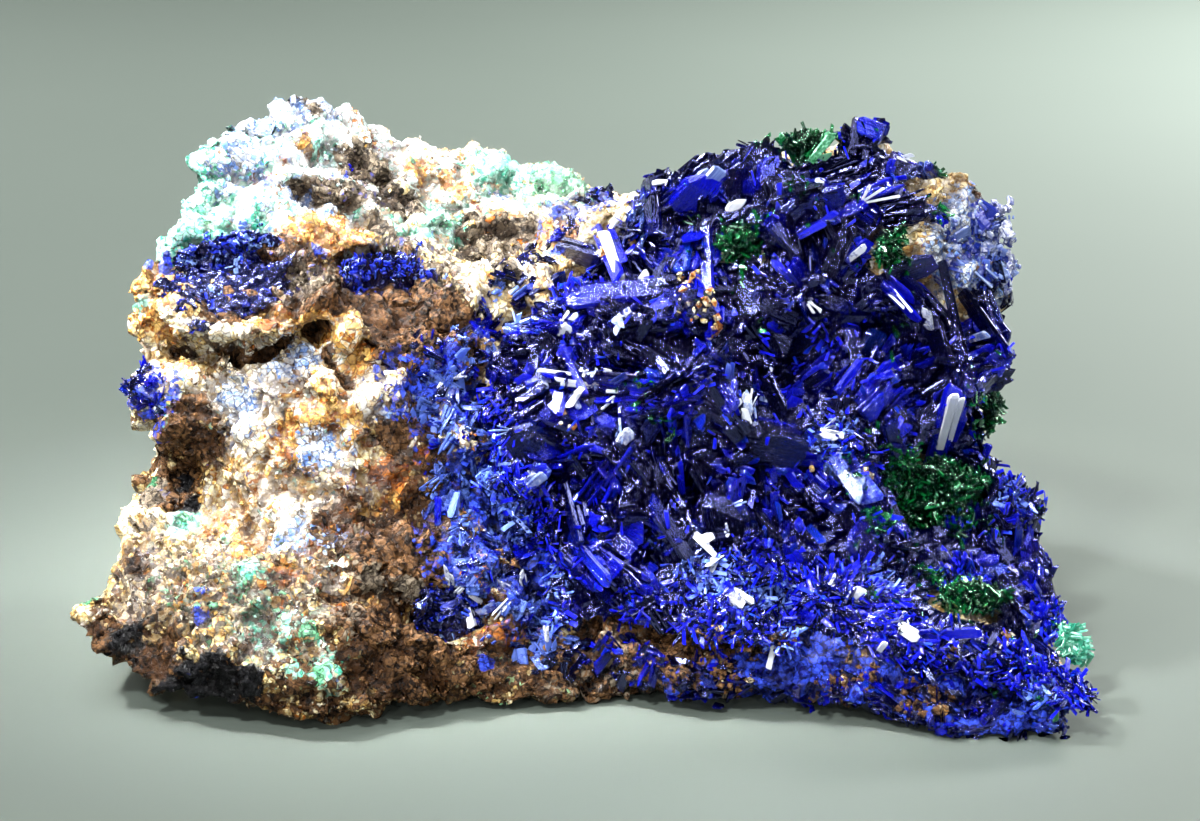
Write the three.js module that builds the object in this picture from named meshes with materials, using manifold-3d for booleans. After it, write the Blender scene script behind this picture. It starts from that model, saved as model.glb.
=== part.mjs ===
// A cabinet specimen of linarite: deep blue blades grown over one side of a block of quartz and limonite,
// with small green tufts among them. Millimetres, +Z up, +X along the longest side, front towards -Y.
// The origin is the middle of the bounding box's footprint, on the flat that the rock rests on.
import * as THREE from "three";
import { ConvexHull } from "three/addons/math/ConvexHull.js";
import { SimplexNoise } from "three/addons/math/SimplexNoise.js";
import { mergeVertices } from "three/addons/utils/BufferGeometryUtils.js";
import Module from "manifold-3d";

const wasm = await Module();
wasm.setup();

// ---------------------------------------------------------------------------------------------------
// Driving dimensions

const SEED = 11;
const SEAT_GAP = 0.35; // clearance between a piece and what it grew on
const HEART = new THREE.Vector3(0, 8, 13); // the inside point that every skin is measured from
const BLOCK = { middle: new THREE.Vector3(1, 1, 20), half: new THREE.Vector3(44, 30, 24) }; // overall

const ROCK_DETAIL = 11; // subdivisions of the ball that the rock's skin is wrapped from
const CRUST_DETAIL = 6; // and the crust's ground, which its blades cover
const STEEPEST = 0.5; // least cosine between a skin and its direction from the heart, for even thickness
const NORMAL_SPREAD = 0.08; // how far apart, in radians, the points of the skin are that give its normal

const LEDGE_PERIOD = 7; // height of one layer of the rock
const LEDGE_DEPTH = 1.1; // how far a layer stands out over the one below
const LEDGE_TILT = new THREE.Vector3(0.18, -0.25, 1).normalize();
const LEDGE_WAVE = { size: 18, height: 1.5 }; // how the layers wander
const LUMPS = [
  { size: 9, height: 0.9 },
  { size: 4.5, height: 0.6 },
];
const COVERED = { relief: 0.4, edge: [-1, 3] }; // share of that relief left under the crust

const CRUST_RISE = 0.2; // how far the crust's ground stands above the rock
const CRUST_ROOT = 3; // how deep it goes into the rock
const CRUST_TAPER = 1.2; // width of the edge over which it thins out
const CLUMP = { size: 6, height: 0.9 }; // lumps of the crust's ground

const FAN_SPACING = 8.5; // least distance between the roots of two fans of blades
const FAN_CANDIDATES = 900; // places that are tried for a fan
const FAN_MARGIN = 3; // how far inside the crust's edge a fan has its root
const FAN_BLADES = 3;
const FAN_RISE = { lowest: 10, range: 50 }; // degrees between a blade and the ground
const FAN_STEP = 1.4; // distance between neighbouring blades of a fan
const FAN_SKEW = { axis: 0.5, face: 1.6 }; // unevenness of their axes and of their broad faces
const BLADE = { shortest: 4, shrink: 0.85, length: [5.5, 11], width: [2.2, 3.8], thickness: [0.8, 1.2] };
const CHISEL = 0.7; // how far a blade's slanted end runs back, as a share of its width
const BLADE_SINK = 1.6; // how much of a blade is rooted
const SINGLE_SINK = 0.5; // and of a blade that stands by itself
const BLADE_REACH = { rim: 1.0, middle: 3.6, width: 13 }; // how far a tip may stand above the ground

const CUT_BLOCK = { width: 120, depth: 120, height: 30 }; // large enough to cut right across the rock
const RESTING_FLAT = { normal: [0, 0, -1], distance: 0 };

const LUMP_SPIKE = { height: 0.35, size: 1 / 7 }; // unevenness of a patch or tuft, as shares of its size

// Corners of the rock as [x, y, z], in groups. The skin is stretched over them, and where two are close
// the one that comes first stays sharp.
const ROCK_CORNERS = {
  hump: [
    [-33.5, 4, 36.5], [-34, 9, 41.5], [-31, 13, 43.5], [-25, 18.5, 44.4], [-21, 21, 42.8],
    [-17.5, 23, 40.4], [-13, 24, 39.4], [-7.5, 25, 37.8], [-1.5, 25, 36.6], [3, 24, 34.5],
    [-30.5, 8, 39.5], [-26, 14, 41.5], [-24.5, 9, 36.5], [-18, 16, 37], [-12.5, 16, 32.5],
    [-5.5, 20, 33.5], [-8.5, 12, 31.5], [-3.5, 10, 32.8],
  ],
  underside: [
    [-31, -15, -0.6], [-24, -19, -0.8], [-13, -18, -1.2], [-2.5, -18.6, -0.8], [13, -17, -1], [26, -20, -1],
    [36, -23, -1.2], [39, -12, -1.5], [31, 8, -1.5], [19, 20, -1.5], [-4, 23, -1.5], [-24, 17, -1.5],
    [-36, 2, -1], [0, 3, -3],
  ],
  leftFoot: [
    [-43.5, -15, 6.5], [-40.5, -18.5, 4.5], [-37, -21, 3], [-33.5, -22.5, 2.2], [-29.5, -24, 1.5],
    [-25.5, -24.5, 1.8], [-20, -25, 1.5], [-14.5, -22.5, 2], [-9, -20.5, 2], [-32.5, -20, 10],
    [-24.5, -20.5, 10], [-16, -19, 9.5], [-8.5, -18, 7.5], [-30.5, -24.5, 6], [-20.5, -25, 5.5],
  ],
  frontEdge: [
    [-2.5, -19.5, 1.5], [2.5, -19.5, 2], [8.5, -21, 2], [13.5, -21, 1.8], [19.5, -21.5, 2], [25, -23.5, 2],
    [31.5, -25.5, 1], [38.5, -27.5, -0.5], [42, -28.5, -0.5], [43.5, -27.5, 2.5],
  ],
  rightSide: [
    [43.5, -26, 3], [43, -17, 4.5], [41.5, -12.5, 7], [39, -9, 9], [38.5, -5, 13], [35.5, -1, 16.5],
    [37, 2, 22.5], [38, 4, 27.5], [39, 7, 36], [36.5, 7.5, 39], [41, 0, 3], [37, 10, 20], [37, 13, 8],
  ],
  topRight: [
    [32.5, 8, 41.5], [28.5, 8, 43], [24, 8.5, 43], [18.5, 9, 42.5], [14, 9, 41.5], [7.5, 9, 39.5],
    [5.5, 10, 37.5], [2, 12.5, 35.5], [22, 20, 38], [33, 16, 34], [10, 19, 35],
  ],
  crustFace: [
    [9, 4, 34], [16, 4.5, 37.5], [24, 3.5, 38], [31, 4, 37.5], [12.5, 3.5, 32.5], [19.5, 0.5, 30.5],
    [28, 1.5, 31], [5.5, -1.5, 29.5], [-1.5, -2.5, 27.5], [16, 2, 22.5], [24.5, -3.5, 23], [31, -3, 22.5],
    [-4.5, -7.5, 21], [4, -8.5, 21], [12.5, -7.5, 20.5], [21, -6.5, 20], [10.5, -8, 14.5], [30.5, -3.5, 13],
    [-1.5, -11.5, 12], [9, -15.5, 11.5], [17, -16.5, 12], [26, -12.5, 10], [34, -14.5, 7.5],
    [-1.5, -16.5, 5.5], [10.5, -19.5, 7], [18.5, -21.5, 7], [26.5, -21.5, 7], [34.5, -22.5, 5.5],
    [38.5, -23.5, 2.9],
  ],
  leftFace: [
    [-30, 1, 34.5], [-21.5, 4, 33], [-13.5, 5, 32], [-28, -8.5, 29.5], [-21, -4, 30], [-34, -6.5, 29],
    [-28, -4, 25.5], [-15, -3, 27.5], [-11.5, -7, 23], [-27.5, -8.5, 21], [-20, -9.5, 21], [-33.5, -6, 16.5],
    [-29, -13, 13.5], [-19.5, -14, 14], [-12.5, -11, 15.5],
  ],
  leftSide: [
    [-37.5, 2, 33.5], [-40, 0, 31], [-38.5, 0, 26.5], [-40, -3, 23.5], [-37, -2, 16.5], [-38.5, -6, 12.5],
    [-40.5, -11, 9.5], [-40, 4, 8], [-37, 12, 18],
  ],
  humpBack: [
    [-35, 14, 38], [-31, 20, 42], [-24, 24, 42.5], [-18, 27, 39], [-12, 29, 37.5], [-5, 29.5, 36.5],
    [1, 29, 34], [6, 25, 32], [-31, 25, 34],
  ],
  back: [
    [-33, 22, 22], [-27, 27, 25], [-18, 31, 27], [-4, 31.5, 27], [9, 29.5, 27], [20, 25, 30], [28, 21, 28],
    [-24, 24, 13], [-8, 29, 15], [7, 31, 12], [21, 28, 14], [31, 18, 16], [-31, 19, 5], [-14, 27, 4],
    [5, 27.5, 3], [21, 24, 4], [33, 14, 5], [-36, 12, 26],
  ],
};

// Flat breaks across the rock's back and sides: each cuts away what lies beyond a plane.
const BREAKS = [
  { normal: [0.15, 1, 0.25], distance: 34 },
  { normal: [0.75, 1, 0.1], distance: 37.5 },
  { normal: [-0.9, 1, 0.15], distance: 40 },
  { normal: [0.1, 0.8, -0.6], distance: 17.5 },
  { normal: [-0.35, 0.7, 0.75], distance: 58.5 },
  { normal: [1, 0.5, -0.1], distance: 42 },
];

// The edge of the blue crust, clockwise as seen from the front, starting where it meets the saddle.
const CRUST_EDGE = [
  [1, 13, 36], [8, 15, 39], [20, 15, 41], [30, 13, 41], [33, 8, 41], [32.5, 6.5, 38.5], [31.5, 4, 35],
  [34, 3, 31.5], [39, 6, 30], [38, 10, 24], [37, 8, 16], [41, 2, 9], [43, -8, 3], [44, -18, 0.5],
  [44, -28, 0.5], [38, -27.5, 0.5], [31.5, -25, 1.5], [26, -22.5, 4], [23.5, -22.5, 1.5], [16, -21, 2],
  [12.5, -20.5, 4.5], [5.5, -18.5, 3.5], [-1, -18, 4], [-5.5, -18, 4.5], [-2.5, -16, 8], [-7, -15, 11],
  [-11.5, -12, 14], [-10.5, -11, 17.5], [-9, -9, 20], [-15, -8, 22.5], [-10, -4, 27.5], [-7.5, 2, 31],
  [-2.5, 3, 32], [1, 8, 34],
];
const CRUST_MIDDLE = new THREE.Vector3(22, -14, 26);

// The open crack under the ledge: its line, with the half height of its mouth and its depth.
const CRACK_LINE = [
  { at: [-38, -2, 27.2], mouth: 0.8, depth: 4 },
  { at: [-36, -6, 27.6], mouth: 1.3, depth: 5 },
  { at: [-31.5, -8, 27.4], mouth: 1.6, depth: 6 },
  { at: [-26.5, -8, 27.2], mouth: 1.5, depth: 6 },
  { at: [-21.5, -6.5, 28.2], mouth: 1.3, depth: 5 },
  { at: [-18, -5, 27], mouth: 1.1, depth: 4 },
  { at: [-15.5, -4.5, 25], mouth: 0.6, depth: 2.5 },
];
const CRACK_PROFILE = { front: 3, below: 2.2, above: 1.6, end: 0.15 }; // section: reach to the front, heights
const LEFT_HOLE = { at: [-34.5, -7, 16.5], size: [2.2, 5, 3.6] };

// Blades that stand out by themselves: root and tip as [x, y, z], then width and thickness.
const SINGLE_BLADES = [
  { root: [1.5, 3, 36], tip: [4, -2, 31.5], width: 2.6, thickness: 0.8 },
  { root: [5, 0, 31.5], tip: [14.5, -9.5, 20], width: 2.6, thickness: 0.9 },
  { root: [30.5, 0.5, 34.5], tip: [35.5, -2, 21], width: 3.2, thickness: 1.0 },
  { root: [28.5, -5, 17.5], tip: [35.5, -4, 25], width: 3.6, thickness: 0.9 },
  { root: [-3, -2, 29.5], tip: [7, -4.5, 30], width: 2.4, thickness: 0.8 },
  { root: [-2, -4, 27], tip: [8, -6, 27], width: 2.0, thickness: 0.8 },
  { root: [10.5, 7, 42.5], tip: [13.5, 2, 35], width: 2.6, thickness: 0.9 },
  { root: [6, 8, 39.5], tip: [7, 2, 33.5], width: 3.0, thickness: 1.0 },
  { root: [27, 6, 43.5], tip: [33, 3, 36], width: 3.0, thickness: 1.0 },
  { root: [18, 7, 43.5], tip: [21, 1, 36.5], width: 2.6, thickness: 0.9 },
  { root: [-2, -12, 15], tip: [6, -18, 8.5], width: 2.8, thickness: 0.9 },
  { root: [0, -14, 12], tip: [7, -19.5, 6.5], width: 2.4, thickness: 0.8 },
  { root: [21, -4, 19.5], tip: [26, -8.5, 13.5], width: 3.0, thickness: 0.9 },
  { root: [25, -19, 9], tip: [30.5, -24, 5.5], width: 2.4, thickness: 0.8 },
  { root: [12, -14, 14], tip: [17, -20, 11], width: 2.6, thickness: 0.9 },
  { root: [33, -20, 7.5], tip: [38.5, -24.5, 5], width: 2.4, thickness: 0.8 },
];

// The small patches and tufts: each is a flattened, pointed lump, sunk into what it grew on. A patch also
// carries a few blades.
const PATCHES = [
  { name: "linarite_patch_ledge", at: [-30, -1.5, 33.4], size: [6.5, 5.5, 1.8], tilt: 0.35, blades: 6 },
  { name: "linarite_patch_saddle", at: [-16.6, 3.4, 31.6], size: [4.6, 2.6, 1.5], tilt: 0.4, blades: 3 },
  { name: "linarite_patch_foot", at: [-10, -17, 8], size: [3.8, 2.0, 3], tilt: 0.6, blades: 3 },
];
const TUFTS = [
  { name: "green_tuft_top", at: [20, 8, 42], size: [2.6, 2, 1.8], tilt: 0.5 },
  { name: "green_tuft_side", at: [27.3, 2.3, 34.2], size: [1.9, 1.8, 2.4], tilt: 0.3 },
  { name: "green_tuft_hollow", at: [14.3, 3.4, 33.8], size: [2.4, 2, 2.2], tilt: 0.3 },
  { name: "green_tuft_pocket", at: [31.4, -3.5, 13.4], size: [5, 3, 4], tilt: 0.2 },
  { name: "green_tuft_rim", at: [36.4, 0.5, 19.6], size: [1.5, 1.6, 2.2], tilt: 0 },
  { name: "green_tuft_foot", at: [33.4, -14.6, 8.2], size: [3.4, 2.2, 2.2], tilt: 0.4 },
  { name: "green_tuft_corner", at: [41.6, -17.5, 5.2], size: [1.8, 2.4, 2], tilt: 0 },
];
const PATCH_BLADE = { width: 1.8, thickness: 0.8 };
const PATCH_REACH = { start: 0.15, length: [0.8, 1.1], rise: [0.35, 0.65] }; // shares of a patch's reach

const ROCK_FINISH = { color: 0xa8916a, roughness: 0.9 };
const LINARITE_FINISH = { color: 0x14168c, roughness: 0.2 };
const GREEN_FINISH = { color: 0x1f7a4c, roughness: 0.45 };

// ---------------------------------------------------------------------------------------------------
// Helpers

/** Repeatable random numbers between 0 and 1. */
function seededRandom(seed) {
  let state = seed;
  return () => {
    state = (state * 1664525 + 1013904223) % 4294967296;
    return state / 4294967296;
  };
}

const random = seededRandom(SEED);
const noise = new SimplexNoise({ random });
const between = ([low, high]) => low + (high - low) * random();

/** Smooth noise of about -1 to 1 at a point, with lumps of a given size. */
const lump = (p, size) => noise.noise3d(p.x / size, p.y / size, p.z / size);

/** A closed three.js geometry as a solid. */
function solidOf(geometry) {
  const bare = new THREE.BufferGeometry();
  bare.setAttribute("position", geometry.getAttribute("position").clone());
  if (geometry.index) bare.setIndex(geometry.index.clone());
  const merged = mergeVertices(bare, 1e-4);
  return new wasm.Manifold(
    new wasm.Mesh({
      numProp: 3,
      vertProperties: merged.getAttribute("position").array,
      triVerts: new Uint32Array(merged.index.array),
    }),
  );
}

/** The outer shell of a solid as a three.js geometry: sealed bubbles and loose chips are dropped. */
function geometryOf(solid) {
  const mesh = solid.getMesh();
  const parent = Array.from({ length: mesh.numVert }, (_, i) => i);
  const rootOf = (i) => {
    while (parent[i] !== i) i = parent[i] = parent[parent[i]];
    return i;
  };
  const corners = Array.from(mesh.triVerts);
  corners.forEach((corner, i) => (parent[rootOf(corner)] = rootOf(corners[i - (i % 3)])));
  const count = new Map();
  for (const corner of corners) count.set(rootOf(corner), (count.get(rootOf(corner)) ?? 0) + 1);
  const [largest] = [...count].reduce((best, entry) => (entry[1] > best[1] ? entry : best));
  const geometry = new THREE.BufferGeometry();
  geometry.setAttribute("position", new THREE.BufferAttribute(mesh.vertProperties, 3));
  geometry.setIndex(corners.filter((corner) => rootOf(corner) === largest));
  return geometry;
}

/** The faces of the rock's cage: each keeps the inverse of its three corners, measured from the heart. */
function cageFaces(corners) {
  const points = corners.map((c) => new THREE.Vector3(...c).sub(HEART));
  const directions = points.map((p, index) => Object.assign(p.clone().normalize(), { index }));
  return new ConvexHull().setFromPoints(directions).faces.map((face) => {
    const [a, b, c] = [0, 1, 2].map((i) => points[face.getEdge(i).head().point.index]);
    return new THREE.Matrix3().set(a.x, b.x, c.x, a.y, b.y, c.y, a.z, b.z, c.z).invert();
  });
}

const rockCorners = Object.values(ROCK_CORNERS).flat();
const rockCage = cageFaces(rockCorners);
const INSIDE_SHARE = -1e-9;

/** How far the cage is from the heart, along a direction. */
function cageRadius(direction) {
  const share = new THREE.Vector3();
  for (const face of rockCage) {
    share.copy(direction).applyMatrix3(face);
    const inside = Math.min(share.x, share.y, share.z) > INSIDE_SHARE;
    if (inside) return 1 / (share.x + share.y + share.z);
  }
  throw new Error("the cage of the rock isn't closed");
}

/** A flat map of the ball of directions: the angle from a middle direction, kept along its bearing. */
function chartAround(middle) {
  const axis = middle.clone().sub(HEART).normalize();
  const side = new THREE.Vector3(0, 0, 1).cross(axis).normalize();
  const up = axis.clone().cross(side);
  return (direction) => {
    const angle = axis.angleTo(direction);
    const flat = new THREE.Vector2(direction.dot(side), direction.dot(up));
    return flat.setLength(angle);
  };
}

/** A region of the skin inside a loop of points: distance to its edge, positive inside, in millimetres. */
function regionInside(loop, middle) {
  const chart = chartAround(middle);
  const outline = loop.map((p) => chart(new THREE.Vector3(...p).sub(HEART).normalize()));
  const edge = new THREE.Line3();
  const nearest = new THREE.Vector3();
  const flat = new THREE.Vector3();
  return (direction) => {
    const at = chart(direction);
    flat.set(at.x, at.y, 0);
    let inside = false;
    let distance = Infinity;
    outline.forEach((a, i) => {
      const b = outline[(i + 1) % outline.length];
      const crossing = a.x + ((b.x - a.x) * (at.y - a.y)) / (b.y - a.y);
      if (a.y > at.y !== b.y > at.y && at.x < crossing) inside = !inside;
      edge.start.set(a.x, a.y, 0);
      edge.end.set(b.x, b.y, 0);
      edge.closestPointToPoint(flat, true, nearest);
      distance = Math.min(distance, nearest.distanceTo(flat));
    });
    return (inside ? 1 : -1) * distance * cageRadius(direction);
  };
}

const crustRegion = regionInside(CRUST_EDGE, CRUST_MIDDLE);

/** The direction from the heart to a point of the unit ball, once the ball is stretched to the block. */
const directionOf = (unit) => unit.clone().multiply(BLOCK.half).add(BLOCK.middle).sub(HEART).normalize();

/** A closed skin round the heart, whose distance from it is a function of direction. */
function wrap(detail, radiusOf) {
  const ball = new THREE.IcosahedronGeometry(1, detail);
  ball.deleteAttribute("normal");
  ball.deleteAttribute("uv");
  const skin = mergeVertices(ball, 1e-5);
  const position = skin.getAttribute("position");
  const directions = Array.from({ length: position.count }, (_, i) =>
    directionOf(new THREE.Vector3().fromBufferAttribute(position, i)),
  );
  const kept = new Set();
  for (const corner of rockCorners) keepCorner(directions, kept, new THREE.Vector3(...corner));
  directions.forEach((direction, i) => {
    const at = direction.clone().multiplyScalar(radiusOf(direction)).add(HEART);
    position.setXYZ(i, at.x, at.y, at.z);
  });
  return skin;
}

/** Moves the nearest of the skin's directions onto a corner of the rock, so that the corner stays sharp. */
function keepCorner(directions, kept, corner) {
  const towards = corner.clone().sub(HEART).normalize();
  let nearest = 0;
  directions.forEach((direction, i) => {
    if (direction.dot(towards) > directions[nearest].dot(towards)) nearest = i;
  });
  if (kept.has(nearest)) return;
  kept.add(nearest);
  directions[nearest].copy(towards);
}

/** A height above the rock's skin as a distance along a direction from the heart. */
const radially = (direction, height) => height / Math.max(STEEPEST, skinNormal(direction).dot(direction));

/** Ledges and lumps of the rock at a point of its cage, in millimetres. */
function rockRelief(point) {
  const layer = (point.dot(LEDGE_TILT) + LEDGE_WAVE.height * lump(point, LEDGE_WAVE.size)) / LEDGE_PERIOD;
  const ledge = LEDGE_DEPTH * (layer - Math.floor(layer) - 0.5);
  return LUMPS.reduce((sum, { size, height }) => sum + height * lump(point, size), ledge);
}

/** Distance from the heart to the rock's skin; the rock is plainer where the crust covers it. */
function rockRadius(direction) {
  const radius = cageRadius(direction);
  const point = direction.clone().multiplyScalar(radius).add(HEART);
  const covered = THREE.MathUtils.smoothstep(crustRegion(direction), ...COVERED.edge);
  const bare = THREE.MathUtils.lerp(1, COVERED.relief, covered);
  return radius + bare * radially(direction, rockRelief(point));
}

/** Distance from the heart to the top of the crust's ground; outside the crust it dives into the rock. */
function crustRadius(direction) {
  const inside = crustRegion(direction);
  const point = direction.clone().multiplyScalar(cageRadius(direction)).add(HEART);
  const taper = THREE.MathUtils.smoothstep(inside, -CRUST_TAPER, CRUST_TAPER);
  const top = CRUST_RISE + CLUMP.height * lump(point, CLUMP.size);
  return rockRadius(direction) + radially(direction, THREE.MathUtils.lerp(-2 * CRUST_ROOT, top, taper));
}

/** Distance from the heart to the crust's underside; outside the crust it rises clear of the rock. */
function floorRadius(direction) {
  const taper = THREE.MathUtils.smoothstep(crustRegion(direction), -CRUST_TAPER, CRUST_TAPER);
  const height = THREE.MathUtils.lerp(2 * CRUST_ROOT, -CRUST_ROOT, taper);
  return rockRadius(direction) + radially(direction, height);
}

/** The outward normal of the rock's cage along a direction, from three points a few millimetres apart. */
function skinNormal(direction) {
  const side = new THREE.Vector3(0, 0, 1).cross(direction).normalize();
  const up = direction.clone().cross(side);
  const [a, b, c] = [0, 1, 2].map((i) => {
    const turn = (i * 2 * Math.PI) / 3;
    const near = direction.clone().addScaledVector(side, NORMAL_SPREAD * Math.cos(turn));
    near.addScaledVector(up, NORMAL_SPREAD * Math.sin(turn)).normalize();
    return near.multiplyScalar(cageRadius(near.clone()));
  });
  return b.sub(a).cross(c.sub(a)).normalize();
}

/** A tabular crystal along +Y from its root at the origin, with a slanted chisel tip, broad face +Z. */
function bladeGeometry(length, width, thickness) {
  const half = width / 2;
  const outline = new THREE.Shape([
    new THREE.Vector2(-half, 0),
    new THREE.Vector2(half, 0),
    new THREE.Vector2(half, length - CHISEL * width),
    new THREE.Vector2(-half, length),
  ]);
  const blade = new THREE.ExtrudeGeometry(outline, { depth: thickness, bevelEnabled: false });
  return blade.translate(0, 0, -thickness / 2);
}

/** A blade with its root at a point, along an axis, its broad face turned towards a second direction. */
function bladeAt(root, axis, facing, size) {
  const along = axis.clone().normalize();
  const across = along.clone().cross(facing).normalize();
  const face = across.clone().cross(along);
  const placed = new THREE.Matrix4().makeBasis(across, along, face).setPosition(root);
  return bladeGeometry(size.length, size.width, size.thickness).applyMatrix4(placed);
}

/** Points spread evenly over the unit ball. */
function evenPoints(count) {
  const golden = Math.PI * (3 - Math.sqrt(5));
  return Array.from({ length: count }, (_, i) => {
    const z = 1 - (2 * i + 1) / count;
    const ring = Math.sqrt(1 - z * z);
    return new THREE.Vector3(ring * Math.cos(i * golden), ring * Math.sin(i * golden), z);
  });
}

/** A closed skin through rings of equally many points, closed at both ends. */
function loft(rings) {
  const around = rings[0].length;
  const ends = [rings[0], rings.at(-1)].map((ring) =>
    ring.reduce((sum, p) => sum.add(p), new THREE.Vector3()).divideScalar(around),
  );
  const index = [];
  const at = (ring, i) => ring * around + (i % around);
  for (let ring = 0; ring + 1 < rings.length; ring++)
    for (let i = 0; i < around; i++)
      index.push(
        at(ring, i), at(ring, i + 1), at(ring + 1, i + 1),
        at(ring, i), at(ring + 1, i + 1), at(ring + 1, i),
      );
  const first = rings.length * around;
  for (let i = 0; i < around; i++) {
    index.push(first, at(0, i + 1), at(0, i));
    index.push(first + 1, at(rings.length - 1, i), at(rings.length - 1, i + 1));
  }
  const geometry = new THREE.BufferGeometry().setFromPoints([...rings.flat(), ...ends]);
  return geometry.setIndex(index);
}

// ---------------------------------------------------------------------------------------------------
// The pieces

/** The wedge of air under the ledge: open at the front, closing to a line inside the rock. */
function crackSolid() {
  const { front, below, above, end } = CRACK_PROFILE;
  const rings = CRACK_LINE.map(({ at, mouth, depth }) => {
    const [x, y, z] = at;
    return [
      new THREE.Vector3(x, y - front, z - below * mouth),
      new THREE.Vector3(x, y + depth, z - end),
      new THREE.Vector3(x, y + depth, z + end),
      new THREE.Vector3(x, y - front, z + above * mouth),
    ];
  });
  return solidOf(loft(rings));
}

/** An uneven lump with pointed facets, about a point; it can be grown evenly to make room for itself. */
function lumpSolid({ at, size, tilt }, grow = 0) {
  const ball = new THREE.IcosahedronGeometry(1, 1);
  ball.deleteAttribute("normal");
  ball.deleteAttribute("uv");
  const rough = mergeVertices(ball);
  const position = rough.getAttribute("position");
  const p = new THREE.Vector3();
  const middle = new THREE.Vector3(...at);
  const turn = new THREE.Euler(tilt, 0, 0);
  for (let i = 0; i < position.count; i++) {
    p.fromBufferAttribute(position, i);
    const uneven = 1 + LUMP_SPIKE.height * lump(p.clone().divideScalar(LUMP_SPIKE.size).add(middle), 1);
    p.multiply(new THREE.Vector3(...size).multiplyScalar(uneven).addScalar(grow));
    p.applyEuler(turn).add(middle);
    position.setXYZ(i, p.x, p.y, p.z);
  }
  return solidOf(rough);
}

/** A block that fills the space beyond a plane at a distance from the frame's origin. */
function beyondPlane({ normal, distance }) {
  const { width, depth, height } = CUT_BLOCK;
  const block = new THREE.BoxGeometry(width, depth, height).translate(0, 0, height / 2 + distance);
  const turn = new THREE.Quaternion();
  turn.setFromUnitVectors(new THREE.Vector3(0, 0, 1), new THREE.Vector3(...normal).normalize());
  return solidOf(block.applyQuaternion(turn));
}

/** The bare rock: the cage with its ledges and lumps, the crack, the hole and its flat breaks. */
function rockSolid() {
  const whole = solidOf(wrap(ROCK_DETAIL, rockRadius));
  return [crackSolid(), lumpSolid({ ...LEFT_HOLE, tilt: 0 }), ...BREAKS.map(beyondPlane)].reduce(
    (rock, cut) => rock.subtract(cut),
    whole,
  );
}

/** Whether a tip stands further out of the crust than its blades do there: they are short at the rim. */
function standsTooHigh(tip) {
  const direction = tip.clone().sub(HEART).normalize();
  const height = (tip.distanceTo(HEART) - crustRadius(direction)) / radially(direction, 1);
  const sheltered = THREE.MathUtils.smoothstep(crustRegion(direction), 0, BLADE_REACH.width);
  return height > THREE.MathUtils.lerp(BLADE_REACH.rim, BLADE_REACH.middle, sheltered);
}

/** Fans of blades over the crust: each fan grows from one root and opens like the pages of a book. */
function fanBlades() {
  const blades = [];
  const roots = [];
  for (const direction of evenPoints(FAN_CANDIDATES).map(directionOf)) {
    if (crustRegion(direction) < FAN_MARGIN) continue;
    const root = direction.clone().multiplyScalar(crustRadius(direction)).add(HEART);
    if (roots.some((other) => other.distanceTo(root) < FAN_SPACING)) continue;
    roots.push(root);
    const normal = skinNormal(direction);
    const lean = new THREE.Vector3(random() - 0.5, random() - 0.5, random() - 0.5).cross(normal).normalize();
    const hinge = lean.clone().cross(normal).normalize();
    for (let i = 0; i < FAN_BLADES; i++) {
      const opening = (i + random()) / FAN_BLADES;
      const rise = THREE.MathUtils.degToRad(FAN_RISE.lowest + FAN_RISE.range * opening);
      const axis = lean.clone().multiplyScalar(Math.cos(rise)).addScaledVector(normal, Math.sin(rise));
      axis.addScaledVector(hinge, FAN_SKEW.axis * (random() - 0.5));
      const facing = normal.clone().addScaledVector(hinge, FAN_SKEW.face * (random() - 0.5));
      const length = between(BLADE.length);
      const size = { length, width: between(BLADE.width), thickness: between(BLADE.thickness) };
      const start = root.clone().addScaledVector(hinge, FAN_STEP * (i - (FAN_BLADES - 1) / 2));
      start.addScaledVector(axis, -BLADE_SINK);
      const tipTooHigh = () => standsTooHigh(start.clone().addScaledVector(axis, size.length));
      while (size.length > BLADE.shortest && tipTooHigh()) size.length *= BLADE.shrink;
      if (size.length > BLADE.shortest) blades.push(bladeAt(start, axis, facing, size));
    }
  }
  return blades;
}

/** The blades that stand out by themselves. */
function singleBlades() {
  return SINGLE_BLADES.map(({ root, tip, width, thickness }) => {
    const direction = new THREE.Vector3(...root).sub(HEART).normalize();
    const start = direction.clone().multiplyScalar(crustRadius(direction) - SINGLE_SINK).add(HEART);
    const axis = new THREE.Vector3(...tip).sub(start);
    return bladeAt(start, axis, skinNormal(direction), { length: axis.length(), width, thickness });
  });
}

/** The crust: its lumpy ground and every blade that grew from it, clear of the rock's grown outline. */
function crustSolid(grownRock) {
  const ground = solidOf(wrap(CRUST_DETAIL, crustRadius));
  const blades = [...fanBlades(), ...singleBlades()].map(solidOf);
  return blades.reduce((all, blade) => all.add(blade), ground).subtract(grownRock);
}

/** A small patch or tuft: its lump, with the blades of a patch leaning away from its middle. */
function lumpPiece(piece, rockSkin) {
  const middle = new THREE.Vector3(...piece.at);
  const normal = skinNormal(middle.clone().sub(HEART).normalize());
  const reach = Math.max(...piece.size);
  let solid = lumpSolid(piece);
  const side = new THREE.Vector3(0, 0, 1).cross(normal).normalize();
  const blades = piece.blades ?? 0;
  for (let i = 0; i < blades; i++) {
    const turn = (2 * Math.PI * (i + 0.5 * random())) / blades;
    const lean = side.clone().applyAxisAngle(normal, turn);
    const axis = lean.clone().addScaledVector(normal, between(PATCH_REACH.rise));
    const size = { length: reach * between(PATCH_REACH.length), ...PATCH_BLADE };
    const start = middle.clone().addScaledVector(lean, PATCH_REACH.start * reach);
    const blade = solidOf(bladeAt(start, axis, normal, size));
    solid = solid.add(blade.subtract(rockSkin));
  }
  return solid;
}

// ---------------------------------------------------------------------------------------------------
// Assembly

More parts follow.
